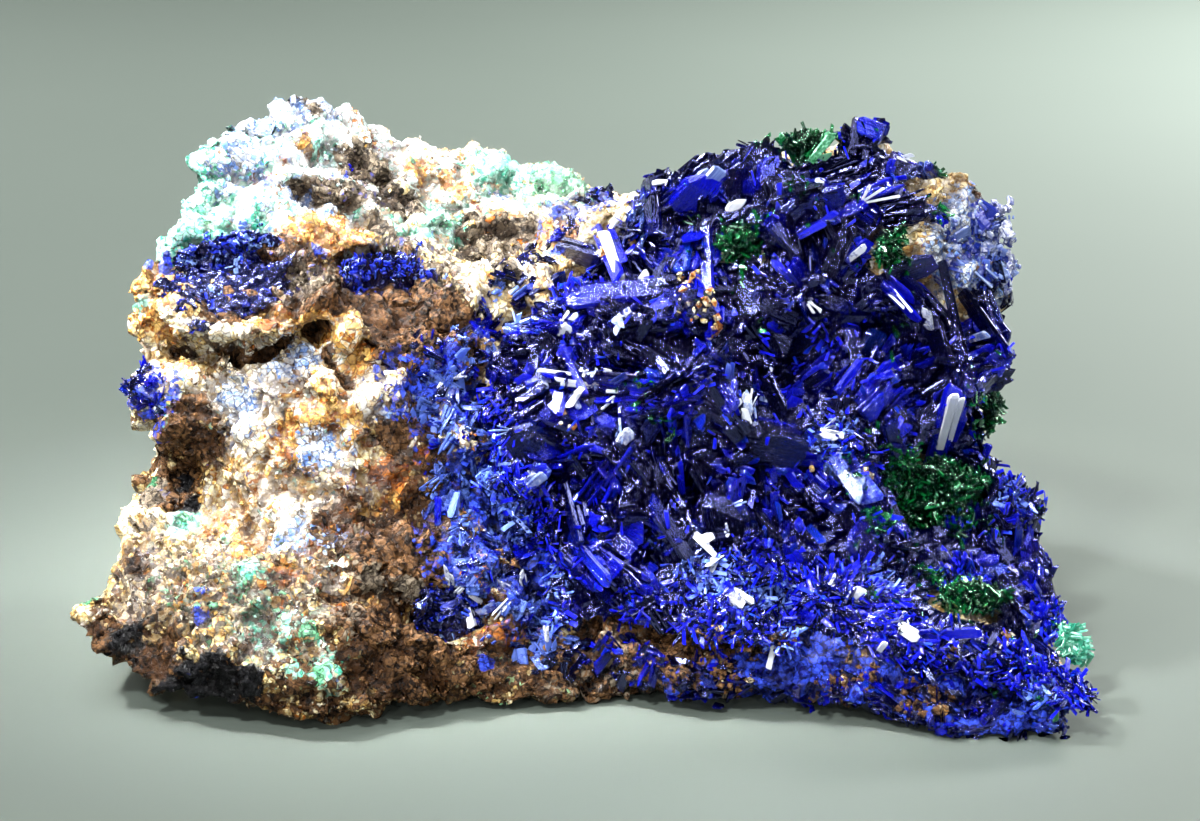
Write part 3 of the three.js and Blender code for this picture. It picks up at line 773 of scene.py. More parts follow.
class Nodes:
    """Makes the nodes of one material."""

    def __init__(self, name: str) -> None:
        """Starts an empty material.

        Args:
            name: Its name.
        """
        self.material = bpy.data.materials.new(name)
        self.material.use_nodes = True
        self.tree = self.material.node_tree
        self.tree.nodes.clear()
        self.place = self.node("TexCoord").outputs["Object"]

    def feed(self, socket: Socket, value: Socket | float | Sequence[float]) -> None:
        """Links a socket, or sets its value.

        Args:
            socket: The socket.
            value: What it is linked to, or its value.
        """
        if isinstance(value, bpy.types.NodeSocket):
            self.tree.links.new(value, socket)
        else:
            socket.default_value = value

    def node(self, kind: str, **inputs: Socket | float | Sequence[float]) -> bpy.types.Node:
        """Makes a node.

        Args:
            kind: Its kind.
            inputs: What its inputs are fed, with _ for a space in their names.

        Returns:
            The node.
        """
        node = self.tree.nodes.new(f"ShaderNode{kind}")
        for name, value in inputs.items():
            self.feed(node.inputs[name.replace("_", " ")], value)
        return node

    def attribute(self, name: str, output: str = "Fac") -> Socket:
        """What the mesh keeps under a name."""
        node = self.node("Attribute")
        node.attribute_name = name
        return node.outputs[output]

    def noise(self, size: float, detail: float = 2.0, vector: Socket | None = None, rough: float = 0.55) -> Socket:
        """Cloudy noise, 0 to 1, with clouds of a size in millimetres where the vector is the place."""
        values = {"Scale": 1 / (size * MM), "Detail": detail, "Roughness": rough, "Vector": vector or self.place}
        return self.node("TexNoise", **values).outputs["Fac"]

    def cells(self, size: float, vector: Socket, feature: str = "F1") -> bpy.types.Node:
        """Cells of a size in millimetres, as the node that finds them."""
        node = self.node("TexVoronoi", Scale=1 / (size * MM), Vector=vector)
        node.feature = feature
        return node

    def parts(self, colour: Socket) -> tuple[Socket, Socket, Socket]:
        """The three numbers of a colour."""
        return tuple(self.node("SeparateColor", Color=colour).outputs)

    def reckon(self, operation: str, *values: Socket | float) -> Socket:
        """What a Math node makes of some values."""
        return self.combined("Math", operation, values)

    def reckon_vector(self, operation: str, *values: Socket | Sequence[float]) -> Socket:
        """What a Vector Math node makes of some values."""
        return self.combined("VectorMath", operation, values)

    def combined(self, kind: str, operation: str, values: Sequence[Socket | float | Sequence[float]]) -> Socket:
        """What a node of a kind makes of some values.

        Args:
            kind: The kind.
            operation: What it does.
            values: What it does it to.

        Returns:
            The result.
        """
        node = self.node(kind)
        node.operation = operation
        for socket, value in zip(node.inputs, values):
            self.feed(socket, value)
        return node.outputs["Vector" if kind == "VectorMath" and operation != "DOT_PRODUCT" else "Value"]

    def scaled(self, value: Socket, times: Socket | float, plus: Socket | float) -> Socket:
        """A value times a number, plus another."""
        return self.reckon("MULTIPLY_ADD", value, times, plus)

    def centred(self, value: Socket) -> Socket:
        """A value of 0 to 1, as -0.5 to 0.5."""
        return self.reckon("SUBTRACT", value, 0.5)

    def warped(self, size: float, amount: float) -> Socket:
        """The place, pushed about by noise of a size and by an amount in millimetres."""
        clouds = self.node("TexNoise", Scale=1 / (size * MM), Vector=self.place).outputs["Color"]
        push = self.reckon_vector("SUBTRACT", clouds, (0.5, 0.5, 0.5))
        return self.reckon_vector("ADD", self.place, self.reckon_vector("MULTIPLY", push, (amount * 2 * MM,) * 3))

    def facets(self, size: float, steep: float, vector: Socket, normal: Socket | None = None) -> Socket:
        """A normal broken into flat facets, each with its own tilt.

        Args:
            size: Size of a facet, in millimetres.
            steep: How steep the facets are.
            vector: The place.
            normal: The normal that they are added to.

        Returns:
            The normal.
        """
        cells = self.cells(size, vector)
        inside = self.reckon_vector("SUBTRACT", vector, cells.outputs["Position"])
        tilt = self.reckon_vector("SUBTRACT", cells.outputs["Color"], (0.5, 0.5, 0.5))
        return self.bump(self.reckon_vector("DOT_PRODUCT", inside, tilt), steep / MM, normal)

    def ramp(self, value: Socket, stops: Sequence[tuple[float, Colour]]) -> Socket:
        """Colours along a value.

        Args:
            value: The value.
            stops: Where each colour is, and the colour.

        Returns:
            The colour.
        """
        node = self.node("ValToRGB", Fac=value)
        elements = node.color_ramp.elements
        while len(elements) < len(stops):
            elements.new(0.5)
        for element, (position, colour) in zip(elements, stops):
            element.position = position
            element.color = colour
        return node.outputs["Color"]

    def band(self, value: Socket, low: float, high: float) -> Socket:
        """A value as a share between two limits, smooth at both."""
        node = self.node("MapRange", Value=value, From_Min=low, From_Max=high)
        node.interpolation_type = "SMOOTHSTEP"
        return node.outputs["Result"]

    def mix(self, share: Socket | float, one: Socket | Colour, two: Socket | Colour, how: str = "MIX") -> Socket:
        """Two colours mixed.

        Args:
            share: How much of the second there is.
            one: The first.
            two: The second.
            how: The way they are mixed.

        Returns:
            The colour.
        """
        node = self.node("Mix", Factor=share)
        node.data_type = "RGBA"
        node.blend_type = how
        self.feed(node.inputs[6], one)
        self.feed(node.inputs[7], two)
        return node.outputs[2]

    def bump(self, height: Socket, depth: float, normal: Socket | None = None) -> Socket:
        """A bumpy normal, from a height of 0 to 1 that stands for a depth in millimetres."""
        under = {} if normal is None else {"Normal": normal}
        return self.node("Bump", Distance=depth * MM, Height=height, **under).outputs["Normal"]

    def finish(self, colour: Socket | Colour, rough: Socket | float, **sockets: Socket | float) -> Material:
        """Ends the material in a Principled shader.

        Args:
            colour: The surface's colour.
            rough: Its roughness.
            sockets: Other inputs of the shader, with _ for a space in their names.

        Returns:
            The material.
        """
        shader = self.node("BsdfPrincipled", Base_Color=colour, Roughness=rough, **sockets)
        self.node("OutputMaterial", Surface=shader.outputs["BSDF"])
        return self.material


class Mineral(Enum):
    """What the rock shows in places, each kept as one number for every vertex."""

    SNOW = "snow"
    MINT = "mint"
    ICE = "ice"
    CREAM = "cream"
    OCHRE = "ochre"
    RUST = "rust"
    BROWN = "brown"
    SLATE = "slate"
    SOOT = "soot"
    AZURE = "azure"
    GREEN = "green"


@dataclass(frozen=True)
class RockFinish:
    """Quartz and limonite: tan grains, with other minerals where the mesh says."""

    tints: tuple[tuple[float, Colour], ...] = (
        (0.14, shade_of(76, 50, 30)),
        (0.27, shade_of(152, 112, 56)),
        (0.38, shade_of(216, 180, 108)),
        (0.5, shade_of(250, 236, 182)),
        (0.66, shade_of(255, 252, 240)),
    )
    minerals: tuple[tuple[Mineral, Colour, Colour], ...] = (
        (Mineral.CREAM, shade_of(234, 216, 176), shade_of(255, 254, 244)),
        (Mineral.SNOW, shade_of(196, 236, 230), shade_of(255, 255, 255)),
        (Mineral.OCHRE, shade_of(172, 96, 24), shade_of(250, 204, 112)),
        (Mineral.RUST, shade_of(96, 46, 14), shade_of(214, 128, 50)),
        (Mineral.MINT, shade_of(70, 190, 156), shade_of(200, 255, 238)),
        (Mineral.ICE, shade_of(110, 150, 222), shade_of(238, 248, 255)),
        (Mineral.BROWN, shade_of(26, 16, 9), shade_of(116, 84, 54)),
        (Mineral.SLATE, shade_of(40, 34, 28), shade_of(136, 124, 106)),
        (Mineral.SOOT, shade_of(3, 4, 6), shade_of(26, 26, 29)),
        (Mineral.GREEN, shade_of(16, 84, 50), shade_of(116, 196, 146)),
        (Mineral.AZURE, shade_of(6, 8, 96), shade_of(56, 84, 230)),
    )
    # the colour of the painted shade that the finish puts in hollows and between grains
    shadow: Colour = shade_of(76, 46, 26)
    speck: Colour = shade_of(96, 66, 44)
    grain: float = 0.75
    crumb: float = 0.34
    gloss: float = 0.5

    def build(self, name: str) -> Material:
        """Makes the material."""
        nodes = Nodes(name)
        place = nodes.warped(0.9, 0.35)
        grains = nodes.parts(nodes.cells(self.grain, place).outputs["Color"])
        crumbs = nodes.parts(nodes.cells(self.crumb, place).outputs["Color"])
        fine = nodes.noise(0.5, 3.0)
        broad = nodes.noise(3.6, 4.0, rough=0.6)
        tone = nodes.scaled(grains[0], 0.26, nodes.reckon("MULTIPLY", broad, 0.56))
        tone = nodes.scaled(crumbs[0], 0.18, tone)
        tone = nodes.scaled(nodes.centred(fine), 0.5, tone)
        colour = nodes.ramp(tone, self.tints)
        own_tone = nodes.scaled(crumbs[1], 0.45, nodes.reckon("MULTIPLY", fine, 0.55))
        own_tone = nodes.band(nodes.scaled(nodes.centred(grains[1]), 0.3, own_tone), 0.25, 0.72)
        for i, (mineral, dark, light) in enumerate(self.minerals):
            patch = nodes.scaled(grains[i % 3], 0.42, nodes.attribute(mineral.value))
            patch = nodes.scaled(crumbs[(i + 1) % 3], 0.26, patch)
            share = nodes.band(nodes.reckon("SUBTRACT", patch, 0.34), 0.42, 0.58)
            colour = nodes.mix(share, colour, nodes.mix(own_tone, dark, light))
        # painted shade: low relief and the gaps between grains are darkened towards the shadow colour
        hollow = nodes.band(nodes.attribute("relief"), -1.5, -0.1)
        gaps = nodes.cells(self.grain, place, "DISTANCE_TO_EDGE").outputs["Distance"]
        shadow = nodes.scaled(nodes.reckon("MULTIPLY", hollow, nodes.band(gaps, 0.0, 0.11)), -0.8, 0.8)
        colour = nodes.mix(shadow, colour, self.shadow, "MULTIPLY")
        specks = nodes.reckon("MULTIPLY", nodes.band(nodes.noise(0.26, 3.0, rough=0.7), 0.54, 0.36), 0.32)
        colour = nodes.mix(specks, colour, self.speck, "MULTIPLY")
        silky = nodes.scaled(nodes.attribute(Mineral.ICE.value), -0.55, 1.0)
        rough = nodes.reckon("MULTIPLY", nodes.scaled(crumbs[2], 0.45, 0.14), silky)
        bumps = nodes.facets(self.crumb, 0.4, place, nodes.facets(self.grain, 0.3, place))
        bumps = nodes.bump(nodes.noise(0.3, 4.0, rough=0.7), 0.14, bumps)
        return nodes.finish(colour, rough, Normal=bumps, IOR=1.55, Specular_IOR_Level=self.gloss)


@dataclass(frozen=True)
class BladeFinish:
    """Glassy blades, striped along their length, with painted shade at their roots, and powdery in places."""

    deep: Colour = shade_of(0, 0, 22)
    bright: Colour = shade_of(18, 24, 236)
    other: Colour = shade_of(24, 84, 238)
    powder: Colour = shade_of(116, 152, 255)
    clear: float = 0.6
    ior: float = 1.82
    rough: float = 0.03
    gleam: Colour = (0.4, 0.44, 1.0, 1.0)
    streaks: tuple[float, float, float] = (8.0, 0.3, 2.0)  # how fine the stripes are along each axis of a blade

    def build(self, name: str) -> Material:
        """Makes the material."""
        nodes = Nodes(name)
        grain = nodes.reckon_vector("MULTIPLY", nodes.attribute("grain", "Vector"), self.streaks)
        stripes = nodes.noise(1000.0, 3.0, grain, 0.65)
        # painted light: blades get lighter from root to tip, for shade at the roots and light through the tips
        lit = nodes.scaled(nodes.attribute("height"), 0.35, nodes.attribute("shade"))
        lit = nodes.scaled(nodes.centred(stripes), 0.7, lit)
        hue = nodes.mix(nodes.band(nodes.attribute("tint"), 0.7, 1.2), self.bright, self.other)
        colour = nodes.mix(nodes.band(lit, 0.45, 1.36), self.deep, hue)
        powder = nodes.band(nodes.scaled(nodes.noise(0.45, 3.0), 0.9, nodes.attribute("dust")), 0.85, 1.3)
        rough = nodes.scaled(powder, 0.3, nodes.scaled(stripes, 0.07, self.rough))
        return nodes.finish(
            nodes.mix(powder, colour, self.powder),
            rough,
            Normal=nodes.bump(stripes, 0.09),
            IOR=self.ior,
            Specular_IOR_Level=0.7,
            Specular_Tint=self.gleam,
            Transmission_Weight=self.clear,
        )


AZURE_BLADES = BladeFinish(
    bright=shade_of(40, 60, 236), other=shade_of(70, 124, 246), powder=shade_of(150, 186, 255), clear=0.0, rough=0.14
)


# ---- The pieces


def placed(mesh: Mesh, materials: Sequence[Material]) -> Item:
    """Puts a finished mesh on the specimen.

    Args:
        mesh: The mesh, whose name the piece takes.
        materials: Its finish, and one more where the mesh says which faces are dull.

    Returns:
        The piece.
    """
    mesh.materials.clear()
    for material in materials:
        mesh.materials.append(material)
    if len(materials) > 1:
        mesh.polygons.foreach_set("material_index", dull_faces(mesh))
    piece = bpy.data.objects.new(mesh.name, mesh)
    bpy.context.scene.collection.objects.link(piece)
    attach(piece, BODY)
    LOG.info("%s: %d faces", piece.name, len(mesh.polygons))
    return piece


def dull_faces(mesh: Mesh) -> Array:
    """Which of its two finishes each face of a mesh takes.

    Args:
        mesh: The mesh.

    Returns:
        One for each face that starts at a dull corner, and zero for the others.
    """
    dull = values_of(mesh.attributes["dull"].data, "value", 1)
    corners = values_of(mesh.loops, "vertex_index", 1, np.int32)
    starts = values_of(mesh.polygons, "loop_start", 1, np.int32)
    return (dull[corners[starts]] > 0.5).astype(np.int32)


@dataclass(frozen=True)
class Crease:
    """A ridge or a groove along a line of places in the view, with a width and a height in millimetres."""

    line: tuple[Pixel, ...]
    width: float
    height: float

    def heights(self, points: Array, surface: Surface) -> Array:
        """How far the crease raises points.

        Args:
            points: The points.
            surface: What the line is on.

        Returns:
            A height for each, in millimetres.
        """
        places = [surface.seen(pixel)[0] for pixel in self.line]
        nearest = np.full(len(points), np.inf)
        for a, b in zip(places, places[1:]):
            along = np.clip(((points - a) @ (b - a)) / max((b - a) @ (b - a), 1e-6), 0, 1)
            nearest = np.minimum(nearest, np.linalg.norm(points - a - along[:, None] * (b - a), axis=1))
        return self.height * np.exp(-((nearest / self.width) ** 2))


@dataclass(frozen=True)
class Growth:
    """Where a mineral shows on the rock.

    Its spots are solid in the middle and ragged at the edge, its hazes are loose grains of it, and its strays
    are small clouds all over the rock.
    """

    mineral: Mineral
    spots: tuple[Spot, ...]
    hazes: tuple[Haze, ...]
    strays: float = 0.0
    dull: bool = False

    def shares(self, points: Array, surface: Surface, which: int) -> Array:
        """How much of the mineral shows at each point.

        Args:
            points: The points.
            surface: What the spots are on.
            which: The mineral's number.

        Returns:
            A share for each, 0 to 1.
        """
        ragged = 1.2 * spots_at(points, self.spots, surface) + 0.1
        ragged = ragged + 0.6 * noise_at(points, 1.6, Wave.RAGGED + which, 3)
        share = 0.95 * smoothstep(ragged, -0.4, 0.8)
        clouds = smoothstep(noise_at(points, 5.0, Wave.CLOUDS + which, 2), 0.0, 0.5)
        share = np.maximum(share, self.strays * clouds)
        for x, y, radius, part in self.hazes:
            inside = spots_at(points, ((x, y, radius),), surface)
            share = np.maximum(share, part * smoothstep(inside + 0.3 * clouds, 0.0, 0.5))
        return share


SNOW = Growth(
    Mineral.SNOW,
    # white quartz, and painted glare on the top of the hump where the light burns it out
    spots=(
        (300, 120, 3), (350, 116, 2.6), (325, 135, 2.6), (262, 145, 2.6), (240, 180, 2.6), (290, 165, 2.2),
        (265, 205, 2.6), (375, 125, 2.2), (330, 572, 1.6),
    ),
    hazes=(
        (280, 140, 14, 1), (235, 170, 10, 0.95), (270, 200, 7, 0.9), (350, 125, 9, 1), (430, 190, 7, 0.6),
        (540, 180, 8, 0.45), (300, 370, 6, 0.35), (310, 520, 7, 0.15), (330, 440, 5, 0.2), (260, 600, 5, 0.1),
        (985, 240, 6, 0.5),
    ),
)
MINT = Growth(
    Mineral.MINT,
    strays=0.2,
    spots=(
        (212, 140, 2.6), (205, 165, 2.4), (205, 195, 2.6), (225, 205, 2.2), (240, 125, 1.8), (300, 108, 1.8),
        (332, 150, 1.8), (350, 158, 1.4), (440, 210, 2.4), (455, 225, 2.2), (425, 232, 1.6), (510, 165, 3),
        (545, 172, 2.6), (585, 180, 2.2), (130, 298, 1.4), (165, 412, 1.6), (170, 425, 1.4), (183, 520, 1.6),
        (243, 570, 2), (255, 622, 2), (282, 622, 1.6), (315, 665, 2), (345, 665, 1.6), (325, 440, 1.2),
        (350, 205, 1.4), (1000, 282, 1.2), (985, 278, 1),
    ),
    hazes=(
        (195, 165, 10, 1), (200, 205, 9, 1), (222, 125, 8, 0.9), (220, 580, 7, 0.4), (270, 640, 6, 0.42),
        (250, 160, 7, 0.4), (180, 620, 5, 0.3), (300, 500, 6, 0.25), (300, 110, 5, 0.4), (440, 215, 6, 0.6),
        (530, 175, 8, 0.55), (350, 150, 5, 0.3), (590, 185, 5, 0.5), (470, 190, 7, 0.35), (130, 300, 3, 0.3),
        (175, 415, 4, 0.35), (245, 575, 4, 0.45), (265, 620, 5, 0.45), (325, 670, 5, 0.4), (205, 520, 4, 0.3),
        (300, 470, 5, 0.2), (250, 240, 4, 0.15), (300, 360, 4, 0.15),
    ),
)
ICE = Growth(
    Mineral.ICE,
    strays=0.25,
    spots=(
        (275, 100, 2.6), (262, 118, 2.4), (290, 95, 1.8), (245, 150, 1.8), (300, 200, 2), (322, 205, 1.6),
        (300, 352, 1.7), (290, 365, 1.3), (240, 405, 1.8), (222, 398, 1.4), (320, 450, 1.8), (300, 530, 1.6),
        (330, 535, 1.4), (270, 538, 1.4), (152, 400, 1.6), (560, 195, 2), (500, 190, 1.6), (395, 410, 1.6),
        (412, 395, 1.4), (975, 235, 3.4), (960, 255, 2.4), (1000, 225, 2.4), (1005, 250, 2), (985, 262, 2.2),
        (950, 215, 1.6),
    ),
    hazes=(
        (262, 108, 7, 0.75), (240, 145, 7, 0.5), (310, 160, 6, 0.3), (240, 195, 5, 0.35), (400, 140, 4, 0.3),
        (340, 195, 5, 0.3), (290, 355, 4, 0.45), (235, 405, 5, 0.4), (320, 450, 4, 0.4), (320, 535, 5, 0.35),
        (155, 400, 4, 0.35), (560, 195, 4, 0.35), (982, 240, 7, 0.95), (1000, 265, 5, 0.9), (960, 215, 4, 0.7),
        (350, 480, 5, 0.25),
    ),
)
CREAM = Growth(
    Mineral.CREAM,
    strays=0.5,
    spots=(
        (300, 130, 3.2), (315, 165, 3.6), (345, 118, 2.4), (375, 128, 2.6), (290, 190, 2.6), (262, 205, 2.4),
        (412, 152, 3.2), (446, 160, 3.4), (480, 158, 2.6), (392, 365, 1.6), (385, 350, 1.2), (398, 388, 1.5),
        (270, 495, 3.6), (330, 500, 2.8), (250, 385, 2.8), (300, 400, 2.8), (215, 340, 1.2), (245, 346, 1.2),
        (190, 336, 1), (330, 572, 1.9), (212, 556, 2), (270, 515, 2.2), (340, 470, 2), (410, 440, 2), (330, 655, 1.8),
    ),
    hazes=(
        (300, 150, 11, 0.95), (250, 190, 9, 0.85), (380, 140, 9, 0.9), (460, 160, 9, 0.75), (550, 190, 8, 0.65),
        (215, 150, 8, 0.8), (300, 400, 9, 0.75), (240, 400, 8, 0.7), (220, 560, 7, 0.2), (275, 485, 7, 0.4),
        (360, 440, 7, 0.3), (330, 660, 5, 0.4), (200, 345, 5, 0.4),
    ),
)
OCHRE = Growth(
    Mineral.OCHRE,
    strays=0.45,
    spots=(
        (270, 168, 1.8), (300, 140, 1.3), (330, 232, 2.6), (300, 230, 1.8), (357, 238, 1.8), (152, 285, 1.8),
        (148, 310, 2), (318, 312, 1.8), (345, 335, 2), (362, 360, 1.6), (325, 300, 1.4), (330, 415, 2.8),
        (290, 440, 2.4), (420, 165, 1.6), (452, 178, 2), (282, 572, 1.6), (250, 540, 2), (340, 520, 2.2),
        (530, 235, 2.6), (500, 215, 2), (560, 225, 2.2), (210, 520, 2), (400, 500, 2), (300, 620, 1.4),
    ),
    hazes=(
        (430, 150, 7, 0.35), (500, 160, 6, 0.35), (330, 225, 6, 0.6), (360, 245, 4, 0.4), (300, 240, 4, 0.4),
        (145, 300, 6, 0.6), (240, 540, 8, 0.4), (200, 600, 7, 0.3), (320, 320, 6, 0.6), (350, 340, 5, 0.5),
        (310, 430, 9, 0.45), (240, 560, 9, 0.4), (340, 540, 8, 0.45), (530, 230, 6, 0.5), (480, 210, 5, 0.4),
        (150, 560, 6, 0.3),
    ),
)
RUST = Growth(
    Mineral.RUST,
    strays=0.3,
    spots=(
        (245, 305, 1.8), (265, 318, 1.4), (380, 300, 1.6), (415, 320, 1.6), (285, 575, 1.2), (395, 470, 2.2),
        (430, 455, 1.8), (310, 540, 1.4), (460, 565, 2.2), (500, 620, 2.2), (515, 640, 2), (360, 640, 1.6),
        (345, 600, 1.6), (440, 670, 2), (230, 590, 1.2), (480, 660, 2.2), (930, 700, 2), (360, 520, 1.8),
        (200, 300, 1),
    ),
    hazes=(
        (250, 300, 5, 0.4), (410, 320, 6, 0.35), (420, 470, 7, 0.4), (450, 590, 7, 0.45), (500, 630, 6, 0.5),
        (280, 575, 4, 0.4), (440, 680, 6, 0.4), (600, 695, 7, 0.4), (720, 690, 5, 0.5), (780, 700, 5, 0.35),
        (850, 690, 5, 0.55), (925, 700, 5, 0.5), (360, 640, 5, 0.3), (980, 715, 5, 0.3), (165, 636, 3, 0.6),
        (300, 640, 4, 0.4), (345, 690, 3, 0.5),
    ),
)
BROWN = Growth(
    Mineral.BROWN,
    strays=0.4,
    dull=True,
    spots=(
        (400, 300, 2.6), (430, 295, 2.8), (455, 318, 2), (415, 335, 2.4), (385, 320, 1.8), (355, 282, 1.8),
        (430, 345, 1.8), (290, 270, 2.4), (255, 290, 1.8), (320, 265, 2), (185, 410, 2.4), (190, 440, 2.8),
        (180, 470, 2.6), (172, 500, 2.2), (400, 430, 2.2), (430, 420, 2.2), (440, 480, 2.4), (400, 560, 2.8),
        (370, 560, 2), (430, 550, 2.4), (390, 640, 2.6), (425, 655, 2.4), (360, 620, 2), (135, 560, 1.8),
        (110, 590, 1.8), (100, 640, 2.4), (140, 680, 2.6), (200, 700, 2.4), (520, 615, 2), (490, 605, 1.8),
        (1002, 186, 1.6), (985, 180, 1.3), (1012, 204, 1.1), (420, 380, 1.8), (450, 350, 1.6), (480, 690, 2.4),
        (540, 690, 2.4), (400, 690, 2.2), (300, 690, 1.8), (205, 600, 1),
    ),
    hazes=(
        (410, 310, 7, 0.85), (440, 330, 6, 0.8), (385, 290, 6, 0.85), (300, 268, 6, 0.9), (250, 288, 5, 0.9),
        (330, 285, 5, 0.8), (225, 290, 4, 0.6), (185, 440, 5, 0.7), (180, 480, 5, 0.7), (420, 420, 6, 0.5),
        (440, 490, 7, 0.55), (250, 640, 8, 0.48), (180, 600, 7, 0.5), (330, 610, 7, 0.48), (230, 520, 5, 0.25),
        (140, 620, 7, 0.5), (280, 600, 7, 0.45), (190, 565, 6, 0.4), (215, 625, 6, 0.45), (350, 530, 6, 0.55),
        (230, 545, 5, 0.35), (310, 545, 5, 0.3), (400, 555, 7, 0.85), (390, 640, 7, 0.75), (300, 650, 6, 0.4),
        (120, 580, 6, 0.45), (110, 650, 6, 0.7), (150, 690, 6, 0.8), (220, 700, 6, 0.7), (300, 700, 6, 0.55),
        (380, 700, 6, 0.6), (450, 700, 7, 0.75), (520, 700, 7, 0.7), (590, 690, 6, 0.75), (650, 700, 6, 0.8),
        (570, 662, 4, 0.85), (600, 634, 4, 0.85), (640, 641, 4, 0.85), (676, 648, 4, 0.85), (715, 655, 4, 0.8),
        (610, 668, 4, 0.85), (650, 674, 4, 0.85), (690, 682, 4, 0.85), (710, 705, 6, 0.8), (770, 712, 6, 0.8),
        (830, 718, 6, 0.8), (890, 720, 6, 0.8), (950, 722, 6, 0.8), (1010, 728, 6, 0.8), (1070, 722, 6, 0.8),
        (1004, 184, 2.4, 0.7),
    ),
)
SLATE = Growth(
    Mineral.SLATE,
    dull=True,
    spots=(
        (366, 152, 2.5), (355, 164, 2), (388, 166, 2.4), (322, 192, 1.7), (350, 193, 1.8), (380, 197, 1.8),
        (410, 205, 1.7), (305, 95, 1), (318, 106, 0.9), (296, 186, 1.2), (300, 278, 1.8), (322, 285, 1.4),
        (490, 240, 2.4), (520, 228, 2.2), (470, 255, 2), (510, 270, 1.8), (400, 240, 1.6), (375, 225, 1.6),
        (440, 262, 1.6), (150, 495, 1.6), (140, 520, 1.4), (375, 580, 1.6), (410, 590, 1.6),
    ),
    hazes=(
        (376, 160, 3.6, 0.85), (345, 193, 2.8, 0.7), (395, 201, 2.6, 0.7), (500, 240, 6, 0.65), (400, 245, 5, 0.4),
        (445, 260, 5, 0.5), (300, 280, 4, 0.5), (620, 705, 8, 0.4), (760, 715, 8, 0.6), (900, 722, 8, 0.6),
        (240, 600, 8, 0.4), (160, 575, 6, 0.4), (300, 540, 6, 0.35), (200, 640, 5, 0.4), (330, 600, 5, 0.4),
    ),
)
SOOT = Growth(
    Mineral.SOOT,
    dull=True,
    # black mineral on the foot, and painted shade in the notch, the front crack and along the bottom edge
    spots=(
        (126, 622, 2.3), (128, 642, 2.1), (186, 674, 2.3), (205, 684, 3.2), (232, 684, 2.6), (175, 690, 2),
        (188, 486, 1), (190, 504, 1.1), (345, 594, 1), (530, 262, 1), (325, 272, 0.9),
    ),
    hazes=(
        (200, 695, 3.4, 0.75), (222, 690, 3.2, 0.75), (128, 634, 2, 0.75), (620, 712, 6, 0.4), (830, 722, 8, 0.6),
        (960, 728, 8, 0.6), (1060, 722, 6, 0.6),
    ),
)
AZURE = Growth(
    Mineral.AZURE,
    strays=0.16,
    spots=(
        (135, 380, 1.4), (145, 395, 1.4), (130, 395, 1), (142, 372, 1), (316, 243, 1.2), (330, 165, 0.9),
        (345, 172, 0.9), (272, 185, 0.8), (212, 178, 0.8), (165, 262, 1), (150, 262, 0.8), (205, 585, 0.9),
        (200, 615, 1), (222, 505, 0.6), (187, 720, 0.5), (490, 662, 0.9), (448, 360, 1.6), (430, 385, 1.8),
        (470, 560, 1.2), (440, 545, 1), (380, 270, 0.8), (360, 268, 0.8), (395, 415, 0.8), (380, 130, 0.7),
        (460, 500, 0.9), (565, 205, 1.6), (600, 195, 1.8), (330, 255, 0.8), (555, 250, 1),
    ),
    hazes=(
        (240, 160, 7, 0.15), (350, 185, 5, 0.2), (250, 240, 7, 0.25), (400, 270, 6, 0.25), (140, 390, 5, 0.5),
        (420, 390, 5, 0.45), (455, 360, 4, 0.4), (440, 440, 4, 0.4), (460, 540, 5, 0.4), (480, 600, 5, 0.35),
        (210, 600, 5, 0.15), (340, 590, 6, 0.12), (680, 690, 4, 0.3), (800, 700, 7, 0.85), (960, 712, 8, 0.85),
        (740, 690, 5, 0.7), (880, 705, 7, 0.8), (1060, 710, 6, 0.9), (470, 420, 4, 0.7), (470, 480, 4, 0.7),
        (480, 560, 4, 0.6), (500, 515, 4, 0.95), (512, 540, 4, 0.95), (526, 568, 4, 0.95), (540, 596, 4, 0.95),
        (580, 210, 5, 0.35), (330, 440, 8, 0.08), (970, 262, 4, 0.3),
    ),
)
GREEN = Growth(
    Mineral.GREEN,
    spots=(
        (215, 130, 1.2), (200, 150, 1.2), (210, 215, 1), (550, 180, 2.4), (575, 178, 1.6), (440, 215, 1.2),
        (130, 305, 0.8), (183, 515, 0.8), (85, 595, 0.9), (180, 620, 0.9), (310, 630, 0.9), (322, 668, 1),
        (240, 575, 0.9), (150, 480, 0.8), (260, 262, 0.5), (420, 160, 0.8),
    ),
    hazes=(
        (210, 140, 6, 0.15), (560, 180, 5, 0.4), (520, 695, 6, 0.22), (430, 215, 5, 0.15), (480, 700, 4, 0.15),
        (320, 668, 4, 0.2), (225, 586, 6, 0.3), (170, 565, 5, 0.25), (300, 560, 6, 0.2), (250, 590, 5, 0.12),
        (140, 470, 4, 0.2),
    ),
)
GROWTHS = (SNOW, MINT, ICE, CREAM, OCHRE, RUST, BROWN, SLATE, SOOT, AZURE, GREEN)
LUMP_SPOTS: tuple[Spot, ...] = (
    (180, 450, 2.4), (182, 475, 2.6), (184, 500, 2.2), (170, 420, 1.8), (150, 440, 1.4), (145, 480, 1.4),
    (352, 284, 1.6), (372, 288, 1.4), (335, 280, 1.4), (300, 285, 1.4), (270, 290, 1.4), (395, 642, 2.4),
    (420, 655, 2), (400, 566, 2.6), (370, 556, 1.8), (430, 556, 1.8), (130, 300, 1.4), (145, 288, 1.2),
    (410, 300, 1.8), (440, 320, 1.6), (290, 560, 1.4), (190, 640, 1.6), (250, 670, 1.6), (330, 620, 1.4),
    (480, 240, 1.8), (510, 250, 1.6), (370, 160, 1.6), (340, 190, 1.6), (430, 220, 1.4), (100, 610, 1.6),
)
